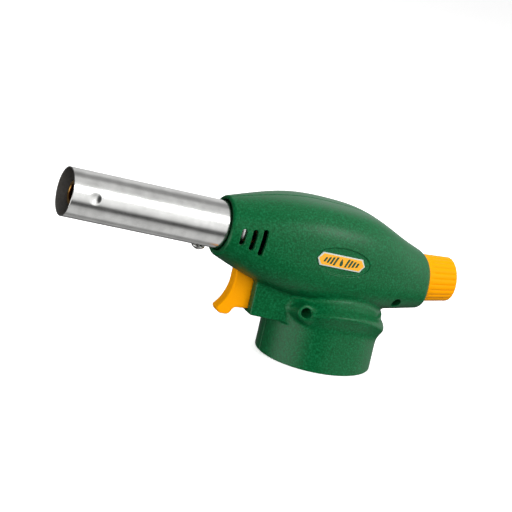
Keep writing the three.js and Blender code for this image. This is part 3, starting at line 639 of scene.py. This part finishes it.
def make_badge(grey, amber, dark):
    """A pale plate with an amber panel on it, and a dark device printed on the panel."""
    back, face = BADGE_HIGH[1], BADGE_LOW[1]
    border = badge_layer("badge_border", [badge_outline(0)], back, face + 0.1, 0.15)
    standing_for(border, "root", "badge_face", grey, "badge")
    panel = badge_layer("badge_panel", [badge_outline(BADGE["border"])], back - 0.3, face, 0.08)
    standing_for(panel, "root", "badge_face", amber)
    device = badge_layer("badge_device", badge_marks(), face + 0.2, face - 0.08, 0.04)
    standing_for(device, "root", "badge_face", dark)


# ---- Turned parts ----
def turned(name, axis, profile, segments=96, shape=None):
    """A closed profile of (radius, distance along the line) turned about a line. `shape` may move points."""
    radius, ahead = np.array(profile, float).T
    turn = np.arange(segments) * 2 * math.pi / segments
    radius = np.repeat(radius[None], segments, 0)
    ahead = np.repeat(ahead[None], segments, 0)
    turn = np.repeat(turn[:, None], radius.shape[1], 1)
    if shape:
        radius, ahead = shape(radius, ahead, turn)
    points = (axis.origin + ahead[..., None] * axis.ahead + (radius * np.cos(turn))[..., None] * axis.across
              + (radius * np.sin(turn))[..., None] * axis.up).reshape(-1, 3)
    count = len(profile)
    faces = []
    for i in range(segments):
        for j in range(count):
            following = (j + 1) % count
            here, nearby = i * count, ((i + 1) % segments) * count
            faces.append((here + j, nearby + j, nearby + following, here + following))
    piece = new_piece(name, points, faces)
    flat_where_large = piece.modifiers.new("flat_where_large", "WEIGHTED_NORMAL")
    flat_where_large.keep_sharp = True
    return piece


def rounded(profile, radius=0.25, steps=4):
    """A closed profile with each corner rounded."""
    profile = np.array(profile, float)
    smooth = []
    for before, corner, after in zip(np.roll(profile, 1, 0), profile, np.roll(profile, -1, 0)):
        sides = [before - corner, after - corner]
        lengths = [np.linalg.norm(side) for side in sides]
        reach = min(radius, *(length * 0.45 for length in lengths))
        start, end = (corner + side / length * reach for side, length in zip(sides, lengths))
        smooth += [tuple(start)] + [tuple(p) for p in curve(start, corner, end, steps)]
    return smooth


DIMPLES = {"ahead": 124.7, "reach": 2.9, "depth": 0.75, "first": math.radians(10), "count": 3}


def dimpled(radius, ahead, turn):
    """Presses the flame tube's dimples into it."""
    pressed = np.zeros_like(radius)
    for i in range(DIMPLES["count"]):
        middle = DIMPLES["first"] + i * 2 * math.pi / DIMPLES["count"]
        round_by = (turn - middle + math.pi) % (2 * math.pi) - math.pi
        away = np.hypot(round_by * radius, ahead - DIMPLES["ahead"]) / DIMPLES["reach"]
        pressed += DIMPLES["depth"] * np.clip(1 - away ** 2, 0, 1) ** 1.5
    return radius - pressed, ahead


def make_flame_tube(steel, sooty):
    """A thin tube with round lips and pressed dimples, dark with soot inside."""
    start, end, outer = span("flame_tube", FLAME_LINE)
    wall, lip = 0.55, 0.2
    inner, middle = outer - wall, outer - wall / 2
    dimple_from, dimple_to = DIMPLES["ahead"] - DIMPLES["reach"], DIMPLES["ahead"] + DIMPLES["reach"]
    near_lip = 0.1
    stations = np.concatenate([[start + lip], np.linspace(start + lip + near_lip, dimple_from, 12),
                               np.linspace(dimple_from, dimple_to, 22)[1:],
                               np.linspace(dimple_to, end - lip - near_lip, 6)[1:], [end - lip]])
    lip_turn = np.linspace(0, math.pi, 7)[1:-1]
    rim = [(middle + wall / 2 * math.cos(t), end - lip + lip * math.sin(t)) for t in lip_turn]
    tail = [(middle - wall / 2 * math.cos(t), start + lip - lip * math.sin(t)) for t in lip_turn]
    profile = [(outer, k) for k in stations] + rim + [(inner, k) for k in stations[::-1]] + tail
    tube = turned("flame_tube_steel", FLAME_LINE, profile, 240, dimpled)
    standing_for(tube, "root", "flame_tube_steel", steel, "flame_tube")
    tube.data.materials.append(sooty)
    for face in tube.data.polygons:
        _, across, up = along(FLAME_LINE, np.array(face.center) / MM)
        outward = Vector(across * FLAME_LINE.across + up * FLAME_LINE.up)
        face.material_index = int(face.normal.dot(outward) < -0.5 * outward.length)


def make_burner_head(brass, scorched):
    """A brass nozzle with a bore scorched by the flame, hollow behind for the burner tube."""
    start, end, outer = span("burner_head", FLAME_LINE)
    bore, bevel, skirt, skirt_depth = 3.5, 0.4, 0.4, 6.2
    profile = [(outer, start), (outer, end - 0.8), (outer - 0.6, end), (bore + bevel, end),
               (bore, end - bevel), (bore, start + skirt_depth),
               (outer - skirt, start + skirt_depth), (outer - skirt, start)]
    head = turned("burner_nozzle", FLAME_LINE, rounded(profile, 0.2))
    standing_for(head, "root", "brass", brass, "burner_head")
    head.data.materials.append(scorched)
    for face in head.data.polygons:
        _, across, up = along(FLAME_LINE, np.array(face.center) / MM)
        face.material_index = int(math.hypot(across, up) < bore + 0.2)


def make_knob(orange):
    """A tapered cup with ribs outside, a hub on the spindle inside and a recess for its screw."""
    start, end, _ = span("knob", KNOB_LINE)
    front_radius, end_radius, ribs, depth = 11.34, 10.44, 24, 0.42
    edge, plain, rib_sharpness, run_out, segments_per_rib = 0.6, 1.4, 0.6, 1.2, 16
    hub, room, recess, recess_floor, bevel = 5.2, 9.3, 3.2, 13.6, 0.3
    screw_hole, spindle_bore, spindle_end, end_wall = 1.6, 2.8, 9.4, 3.5

    def outer(ahead):
        return front_radius + (end_radius - front_radius) * max(0, ahead) / end

    stations = list(np.linspace(start, plain, 4)) + list(np.linspace(plain, end - edge, 10)[1:])
    profile = [(outer(k), k) for k in stations]
    profile += [(outer(end) - edge * (1 - math.cos(t)), end - edge * (1 - math.sin(t)))
                for t in np.linspace(0, math.pi / 2, 7)[1:]]
    profile += [(recess + bevel, end), (recess, end - bevel), (recess, recess_floor)]
    profile += [(screw_hole, recess_floor), (screw_hole, spindle_end)]
    profile += [(spindle_bore, spindle_end), (spindle_bore, start), (hub, start)]
    profile += [(hub, end - end_wall), (room, end - end_wall), (room, start)]

    def ribbed(radius, ahead, turn):
        """Grooves between rounded ribs, which run out towards the shells and over the end's edge."""
        wave = np.abs(np.sin(turn * ribs / 2)) ** rib_sharpness
        fade = np.clip((ahead - plain) / run_out, 0, 1) * np.clip((end + 0.2 - ahead) / edge, 0, 1)
        at_outside = np.clip(radius - room, 0, 0.5) * 2
        return radius - depth * (1 - wave) * fade * at_outside, ahead
    knob = turned("knob_grip", KNOB_LINE, profile, ribs * segments_per_rib, ribbed)
    knob.data.set_sharp_from_angle(angle=math.radians(50))
    standing_for(knob, "knob_and_spindle", "control_plastic", orange, "knob")


# ---- Screws and the cartridge socket ----
def make_screw(node, body, axis, head_at, steel):
    """A pan-head screw with a cross recess. `head_at` is 1 if its head is at the line's far end."""
    start, end, head_radius = span(node, axis)
    head_height = head_radius * 0.62
    thin_shank, wide_shank, widest_small_head = 0.42, 0.62, 2.4
    shank = head_radius * (thin_shank if head_radius > widest_small_head else wide_shank)
    crown_bulge = head_radius * 1.35
    cross_reach, cross_depth = head_radius * 0.62, head_height * 0.62
    cross_half_width, cross_taper = 0.32, 0.5

    def field(x, y, z):
        ahead, across, up = about(axis, x, y, z)
        depth = end - ahead if head_at > 0 else ahead - start
        radius = np.hypot(across, up)
        ball = np.hypot(radius, depth - crown_bulge) - crown_bulge
        head = meet(meet(radius - head_radius, depth - head_height, 0.12), ball, 0.15)
        bars = [meet(np.abs(a) - cross_half_width, np.abs(b) + depth * cross_taper - cross_reach)
                for a, b in ((across, up), (up, across))]
        cross = meet(np.minimum(*bars), depth - cross_depth)
        stem = meet(radius - shank, between(0, end - start, depth), 0.2)
        return join(carve(head, cross, 0.06), stem)
    points = vertices(node)
    cell = head_radius / 16
    screw = mesh_of_field(f"{node}_pan", field, points.min(0), points.max(0), cell, ADAPTIVITY)
    standing_for(screw, body, "screw_steel", steel, node)


def make_screws(steel):
    for node in SHELL_SCREWS:
        make_screw(node, "root", screw_line(node), -1, steel)
    for node in BAYONET_SCREWS:
        make_screw(node, "root", upright_through(node), -1, steel)
    make_screw("tube_screw", "root", line(centre("tube_screw"), -FLAME_LINE.up), 1, steel)
    make_screw("knob_screw", "knob_and_spindle", KNOB_LINE, 1, steel)


def make_bayonet_plate(zinc):
    """A round plate with a bore, four screw holes and three hooked lugs below it."""
    low, high = box_of("bayonet_plate")
    bottom, top, radius, bore = 8.2, high[2], high[0], 5.0
    lug_inner, lug_outer, lug_reach, lug_top = 19.5, 22.0, 2.6, 4.0
    lugs, lug_half_angle, screw_hole = 3, 0.3, 1.7

    def sector(turned_by, inner, outer, start, end, x, y, z):
        """A piece of a ring, as wide as a lug."""
        ahead = x * math.cos(turned_by) + y * math.sin(turned_by)
        across = -x * math.sin(turned_by) + y * math.cos(turned_by)
        distance = np.hypot(ahead, across)
        sides = np.abs(across) * math.cos(lug_half_angle) - ahead * math.sin(lug_half_angle)
        return meet(meet(between(inner, outer, distance), sides, 0.5), between(start, end, z), 0.25)

    def field(x, y, z):
        distance = np.hypot(x, y)
        plate = meet(distance - radius, between(bottom, top, z), 0.3)
        plate = carve(plate, distance - bore, 0.3)
        for i in range(lugs):
            turned_by = (2 * i + 1) * math.pi / lugs
            stem = sector(turned_by, lug_inner, lug_outer, low[2], bottom + 0.5, x, y, z)
            foot = sector(turned_by, lug_inner - lug_reach, lug_outer, low[2], lug_top, x, y, z)
            plate = join(plate, join(stem, foot, 0.5), 0.6)
        for name in BAYONET_SCREWS:
            at = centre(name)
            plate = carve(plate, np.hypot(x - at[0], y - at[1]) - screw_hole, 0.2)
        return plate
    piece = mesh_of_field("bayonet_pressing", field, low, high, 0.3, ADAPTIVITY)
    standing_for(piece, "root", "zinc_plate", zinc, "bayonet_plate")


def make_gasket(rubber):
    """A flat ring with a shallow groove pressed in its lower face."""
    start, end, radius = span("cartridge_gasket", CARTRIDGE_LINE)
    bore, groove_from, groove_to, slant, groove = 3, 5, 7, 0.6, 0.25
    profile = [(bore, start), (groove_from, start), (groove_from + slant, start + groove),
               (groove_to - slant, start + groove), (groove_to, start), (radius, start), (radius, end),
               (bore, end)]
    gasket = turned("gasket_ring", CARTRIDGE_LINE, rounded(profile, 0.25))
    standing_for(gasket, "root", "seal_rubber", rubber, "cartridge_gasket")


def make_nipple(brass):
    """The hollow pin that opens the cartridge's valve, with a stem, a flange and a thread above it."""
    start, end, _ = span("inlet_nipple", CARTRIDGE_LINE)
    bore, tip, tip_foot, stem, flange, thread = 0.9, 1.6, 1.8, 2.6, 6.0, 3.3
    tip_top, stem_bottom, flange_bottom, flange_top = 5.0, 5.3, 10.8, 12.4
    profile = [(bore, start), (tip, start), (tip_foot, tip_top), (stem, stem_bottom), (stem, flange_bottom),
               (flange, flange_bottom), (flange, flange_top), (thread, flange_top), (thread, end),
               (bore, end)]
    nipple = turned("nipple_turned", CARTRIDGE_LINE, rounded(profile, 0.15))
    standing_for(nipple, "root", "brass", brass, "inlet_nipple")


def make_front_ring(zinc):
    """The ring that centres the burner in the flame tube, with round air passages through it."""
    start, end, outer = span("front_centring_ring", FLAME_LINE)
    bore, passage, passages = 6.2, 1.5, 6

    def field(x, y, z):
        ahead, across, up = about(FLAME_LINE, x, y, z)
        ring = meet(between(bore, outer, np.hypot(across, up)), between(start, end, ahead), 0.3)
        for i in range(passages):
            turn = math.pi / 2 + i * 2 * math.pi / passages
            middle = (outer + bore) / 2 * math.cos(turn), (outer + bore) / 2 * math.sin(turn)
            ring = carve(ring, np.hypot(across - middle[0], up - middle[1]) - passage, 0.2)
        return ring
    points = vertices("front_centring_ring")
    ring = mesh_of_field("front_ring_cast", field, points.min(0), points.max(0), 0.22, ADAPTIVITY)
    standing_for(ring, "root", "zinc_plate", zinc, "front_centring_ring")


# ---- Materials ----
PATCH_GRAIN = 6.0                # size of a metal's patches of colour, in millimetres


def linear(red, green, blue):
    """A colour on the 0 to 255 display scale, as the light it stands for."""
    levels = [c / 255 for c in (red, green, blue)]
    return [c / 12.92 if c <= 0.04045 else ((c + 0.055) / 1.055) ** 2.4 for c in levels] + [1.0]


def set_inputs(node, values):
    for name, value in values.items():
        node.inputs[name].default_value = value
    return node


def new_material(name, metallic, roughness):
    """A material, its node tree and its shader."""
    material = bpy.data.materials.new(name)
    material.use_nodes = True
    shader = material.node_tree.nodes["Principled BSDF"]
    set_inputs(shader, {"Metallic": metallic, "Roughness": roughness})
    return material, material.node_tree, shader


def noise(tree, grain, detail=2.0, stretch=(1, 1, 1), turn=(0, 0, 0)):
    """Noise in the object's own space. `grain` is its size in millimetres, longer by `stretch`."""
    place = tree.nodes.new("ShaderNodeTexCoord")
    mapping = tree.nodes.new("ShaderNodeMapping")
    mapping.vector_type = "TEXTURE"
    set_inputs(mapping, {"Rotation": turn, "Scale": [s * grain * MM for s in stretch]})
    texture = set_inputs(tree.nodes.new("ShaderNodeTexNoise"), {"Scale": 1.0, "Detail": detail})
    tree.links.new(place.outputs["Object"], mapping.inputs["Vector"])
    tree.links.new(mapping.outputs["Vector"], texture.inputs["Vector"])
    return texture.outputs["Fac"]


def blend(tree, factor, colours):
    """Display colours spread evenly over the middle of a noise's range."""
    ramp = tree.nodes.new("ShaderNodeValToRGB")
    stops = np.linspace(0.32, 0.68, len(colours))
    ramp.color_ramp.elements[0].position, ramp.color_ramp.elements[1].position = stops[0], stops[-1]
    for stop in stops[1:-1]:
        ramp.color_ramp.elements.new(stop)
    for element, colour in zip(ramp.color_ramp.elements, colours):
        element.color = linear(*colour)
    tree.links.new(factor, ramp.inputs["Fac"])
    return ramp.outputs["Color"]


def spread(tree, factor, least, most):
    """A noise as a value between two limits."""
    limits = set_inputs(tree.nodes.new("ShaderNodeMapRange"),
                        {"From Min": 0.3, "From Max": 0.7, "To Min": least, "To Max": most})
    tree.links.new(factor, limits.inputs["Value"])
    return limits.outputs["Result"]


def bump(tree, shader, height, depth):
    """Raises and sinks the surface by up to `depth` millimetres."""
    node = set_inputs(tree.nodes.new("ShaderNodeBump"), {"Strength": 1.0, "Distance": depth * MM})
    tree.links.new(height, node.inputs["Height"])
    tree.links.new(node.outputs["Normal"], shader.inputs["Normal"])


def moulded(name, colours, grain, depth, roughness, specular=0.5):
    """Moulded plastic: nearly one colour, with the fine grain of the mould."""
    material, tree, shader = new_material(name, 0.0, roughness)
    fine = noise(tree, grain, 3.0)
    tree.links.new(blend(tree, fine, colours), shader.inputs["Base Color"])
    tree.links.new(spread(tree, fine, roughness * 0.85, roughness * 1.15), shader.inputs["Roughness"])
    shader.inputs["Specular IOR Level"].default_value = specular
    bump(tree, shader, fine, depth)
    return material


def worked_metal(name, colours, roughness, grain=0.25, stretch=(1, 1, 1), turn=(0, 0, 0), depth=0.004):
    """Metal with tool marks, which `stretch` draws out along one way."""
    material, tree, shader = new_material(name, 1.0, roughness)
    marks = noise(tree, grain, 4.0, stretch, turn)
    tree.links.new(blend(tree, noise(tree, PATCH_GRAIN), colours), shader.inputs["Base Color"])
    tree.links.new(spread(tree, marks, roughness * 0.7, roughness * 1.3), shader.inputs["Roughness"])
    bump(tree, shader, marks, depth)
    return material


def make_materials():
    lengthwise = (0, FLAME_TILT, 0)
    # Plastics, rubbers and ceramic: darkest to palest colour, grain and its depth in millimetres,
    # roughness, and for some how much they shine.
    plastics = {
        "shell_plastic": ("green_plastic", [(0, 76, 36), (0, 90, 46), (14, 108, 64)], 0.8, 0.08, 0.38, 0.26),
        "control_plastic": ("orange_plastic", [(252, 160, 0), (255, 167, 0)], 0.5, 0.006, 0.4, 0.05),
        "badge_face": ("badge_grey", [(190, 200, 190), (205, 212, 204)], 0.6, 0.003, 0.35),
        "amber": ("badge_amber", [(246, 170, 28), (252, 180, 38)], 0.6, 0.003, 0.35),
        "ink": ("badge_ink", [(16, 70, 44), (20, 78, 50)], 0.6, 0.002, 0.4),
        "sooty": ("sooty_steel", [(84, 83, 81), (104, 102, 99)], 0.6, 0.004, 0.45),
        "seal_rubber": ("seal_rubber", [(22, 22, 22), (34, 34, 34)], 0.4, 0.01, 0.7),
        "ceramic": ("ceramic", [(232, 228, 216), (240, 238, 230)], 0.5, 0.006, 0.45),
        "piezo_plastic": ("piezo_plastic", [(36, 36, 38), (48, 48, 50)], 0.5, 0.006, 0.5),
        "plunger_plastic": ("plunger_plastic", [(214, 212, 204), (224, 222, 214)], 0.5, 0.006, 0.5),
        "wire_rubber": ("wire_rubber", [(150, 28, 22), (170, 34, 28)], 0.6, 0.008, 0.55),
    }
    # Metals: two colours, roughness, and the tool marks' grain, stretch, direction and depth.
    metals = {
        "flame_tube_steel": ("drawn_steel", [(205, 205, 203), (222, 222, 220)], 0.2, 0.12, (90, 1, 1),
                             lengthwise, 0.0025),
        "scorched": ("scorched_brass", [(120, 66, 30), (146, 88, 44)], 0.45, 0.3),
        "turned_steel": ("turned_steel", [(150, 150, 148), (175, 175, 172)], 0.32),
        "screw_steel": ("plated_screw", [(190, 190, 188), (215, 215, 212)], 0.28),
        "zinc_plate": ("zinc_plate", [(176, 180, 184), (200, 203, 205)], 0.36, 0.6),
        "brass": ("brass", [(196, 150, 78), (214, 168, 92)], 0.3, 0.3),
        "copper": ("copper", [(184, 106, 72), (205, 124, 86)], 0.34, 0.3),
    }
    finished = {slot: moulded(*row) for slot, row in plastics.items()}
    finished.update({slot: worked_metal(*row) for slot, row in metals.items()})
    return finished


def finish_carried_nodes(materials):
    """CAD nodes that stay as they are take their slot's finish and smooth shading."""
    slots = {row["node"]: row["material_slot"] for row in frame["record"]["subparts"]}
    for name, node in frame["nodes"].items():
        if name in REPLACED:
            continue
        node.data.materials.clear()
        node.data.materials.append(materials[slots[name]])
        edges = node.modifiers.new("edge", "BEVEL")
        edges.width = 0.12 * MM
        edges.segments = 2
        edges.harden_normals = True
        edges.limit_method = "ANGLE"
        edges.angle_limit = math.radians(35)
        node.data.shade_smooth()


# ---- Stage ----
def grey_ramp(tree, value, stops):
    """Levels of grey at values from -1 to 1."""
    ramp = tree.nodes.new("ShaderNodeValToRGB")
    elements = ramp.color_ramp.elements
    for _ in stops[2:]:
        elements.new(0.5)
    for element, (at, bright) in zip(elements, stops):
        element.position = (at + 1) / 2
        element.color = (bright, bright, bright, 1.0)
    limits = set_inputs(tree.nodes.new("ShaderNodeMapRange"), {"From Min": -1.0})
    tree.links.new(value, limits.inputs["Value"])
    tree.links.new(limits.outputs["Result"], ramp.inputs["Fac"])
    return ramp.outputs["Color"]


def mixed(tree, how, first, second):
    """Two colours put together by a blend mode."""
    node = tree.nodes.new("ShaderNodeMix")
    node.data_type = "RGBA"
    node.blend_type = how
    node.inputs["Factor"].default_value = 1.0
    colours = [socket for socket in node.inputs if socket.type == "RGBA"]
    tree.links.new(first, colours[0])
    tree.links.new(second, colours[1])
    return next(socket for socket in node.outputs if socket.type == "RGBA")


def calculated(tree, operation, first, second):
    """A Math node. Each of its inputs is a socket or a plain number."""
    node = tree.nodes.new("ShaderNodeMath")
    node.operation = operation
    for value, socket in zip((first, second), node.inputs):
        if isinstance(value, bpy.types.NodeSocket):
            tree.links.new(value, socket)
        else:
            socket.default_value = value
    return node.outputs["Value"]


# How bright the studio is: pairs of a place, from -1 to 1, and a level. Places are heights, or half
# turns from -Y round by +X. A pale box on the left is added to the walls.
WALLS_BY_HEIGHT = [(-1.0, 0.78), (-0.74, 0.62), (-0.6, 0.1), (-0.44, 0.08), (-0.26, 0.9), (0.0, 1.25),
                   (0.6, 1.25), (0.74, 0.95), (0.86, 0.75), (1.0, 0.9)]
WALLS_BY_TURN = [(-0.95, 0.1), (-0.2, 0.04), (-0.06, 0.04), (0.03, 1.0), (0.5, 1.0), (0.64, 0.5),
                 (0.75, 0.4), (0.84, 0.7), (0.97, 0.3)]
BOX_BY_HEIGHT = [(-0.6, 0.0), (-0.5, 2.6), (-0.1, 2.6), (0.1, 0.0)]
BOX_BY_TURN = [(-0.64, 0.0), (-0.58, 1.0), (-0.32, 1.0), (-0.24, 0.0)]


def make_world():
    """A studio all round, whose brightness changes with the height and with the way round."""
    world = bpy.data.worlds.new("studio")
    world.use_nodes = True
    tree = world.node_tree
    place = tree.nodes.new("ShaderNodeTexCoord")
    split = tree.nodes.new("ShaderNodeSeparateXYZ")
    tree.links.new(place.outputs["Generated"], split.inputs["Vector"])
    towards_minus_y = calculated(tree, "MULTIPLY", split.outputs["Y"], -1.0)
    angle = calculated(tree, "ARCTAN2", split.outputs["X"], towards_minus_y)
    height, turn = split.outputs["Z"], calculated(tree, "MULTIPLY", angle, 1 / math.pi)
    walls = mixed(tree, "MULTIPLY", grey_ramp(tree, height, WALLS_BY_HEIGHT),
                  grey_ramp(tree, turn, WALLS_BY_TURN))
    box = mixed(tree, "MULTIPLY", grey_ramp(tree, height, BOX_BY_HEIGHT), grey_ramp(tree, turn, BOX_BY_TURN))
    tree.links.new(mixed(tree, "ADD", walls, box), tree.nodes["Background"].inputs["Color"])
    bpy.context.scene.world = world


def make_light(name, direction, distance, size, power, mirrored=False):
    """A soft square lamp that shines on the target. Only a mirrored one shows in reflections."""
    direction = Vector(direction).normalized()
    data = bpy.data.lights.new(name, "AREA")
    data.size = size
    data.energy = power
    lamp = added(name, data)
    lamp.visible_glossy = mirrored
    lamp.location = TARGET + direction * distance
    lamp.rotation_euler = direction.to_track_quat("Z", "Y").to_euler()


def make_floor():
    """A plain pale floor under the cartridge collar, level with the part's lowest point."""
    half = 8.0
    level = CAD_BOUNDS[0][2]
    mesh = bpy.data.meshes.new("floor")
    mesh.from_pydata([(x * half, y * half, level) for x, y in ((-1, -1), (1, -1), (1, 1), (-1, 1))],
                     [], [(0, 1, 2, 3)])
    floor = added("floor", mesh)
    white, tree, shader = new_material("floor_white", 0.0, 0.9)
    whites = [(250, 250, 250), (253, 253, 253)]
    tree.links.new(blend(tree, noise(tree, 400.0), whites), shader.inputs["Base Color"])
    set_inputs(shader, {"Specular IOR Level": 0.1, "Emission Color": (1, 1, 1, 1), "Emission Strength": 0.5})
    mesh.materials.append(white)
    floor.visible_glossy = False
    floor.visible_diffuse = False


# The camera looks at a point near the middle of the torch, from the photograph's viewing angle.
TARGET = Vector((-39.247, 0, 44.873)) * MM
VIEW = {"azimuth": -24.812, "elevation": 14.297, "roll": 12.651, "distance": 872.28 * MM, "lens": 135}


def make_camera():
    turn, rise, roll = (math.radians(VIEW[key]) for key in ("azimuth", "elevation", "roll"))
    back = Vector((math.sin(turn) * math.cos(rise), -math.cos(turn) * math.cos(rise), math.sin(rise)))
    level = Vector((math.cos(turn), math.sin(turn), 0))
    upright = back.cross(level)
    right = level * math.cos(roll) + upright * math.sin(roll)
    up = upright * math.cos(roll) - level * math.sin(roll)
    data = bpy.data.cameras.new("camera")
    data.lens = VIEW["lens"]
    data.clip_start = 0.01
    camera = added("camera", data)
    camera.matrix_world = Matrix.LocRotScale(
        TARGET + back * VIEW["distance"], Matrix((right, up, back)).transposed().to_quaternion(), None)
    bpy.context.scene.camera = camera


# ---- The torch ----
# The CAD nodes that a piece of this script stands for. The others keep their shape.
REPLACED = {"left_shell", "right_shell", "trigger", "badge", "flame_tube", "burner_head", "knob",
            "tube_screw", "knob_screw", "bayonet_plate", "cartridge_gasket", "inlet_nipple",
            "front_centring_ring", *SHELL_SCREWS, *BAYONET_SCREWS}


def build():
    materials = make_materials()
    green, orange, zinc = (materials[slot] for slot in ("shell_plastic", "control_plastic", "zinc_plate"))
    make_shells(green)
    make_trigger(orange)
    make_knob(orange)
    make_badge(materials["badge_face"], materials["amber"], materials["ink"])
    make_flame_tube(materials["flame_tube_steel"], materials["sooty"])
    make_burner_head(materials["brass"], materials["scorched"])
    make_front_ring(zinc)
    make_screws(materials["screw_steel"])
    make_bayonet_plate(zinc)
    make_gasket(materials["seal_rubber"])
    make_nipple(materials["brass"])
    finish_carried_nodes(materials)
    make_world()
    # Lamps: direction from the target, then distance and size in metres, and power in watts.
    make_light("top_light", (0.1, 0.5, 1.0), 1.0, 0.8, 6)
    make_light("front_light", (0.55, -1.0, 0.75), 1.1, 0.4, 4, mirrored=True)
    make_light("fill_light", (-0.3, -1.0, 0.5), 1.2, 0.8, 6.5)
    make_light("left_light", (-1.0, -0.2, -0.05), 1.0, 0.5, 2)
    make_floor()
    make_camera()


build()
bpy.context.scene.view_settings.view_transform = "Standard"
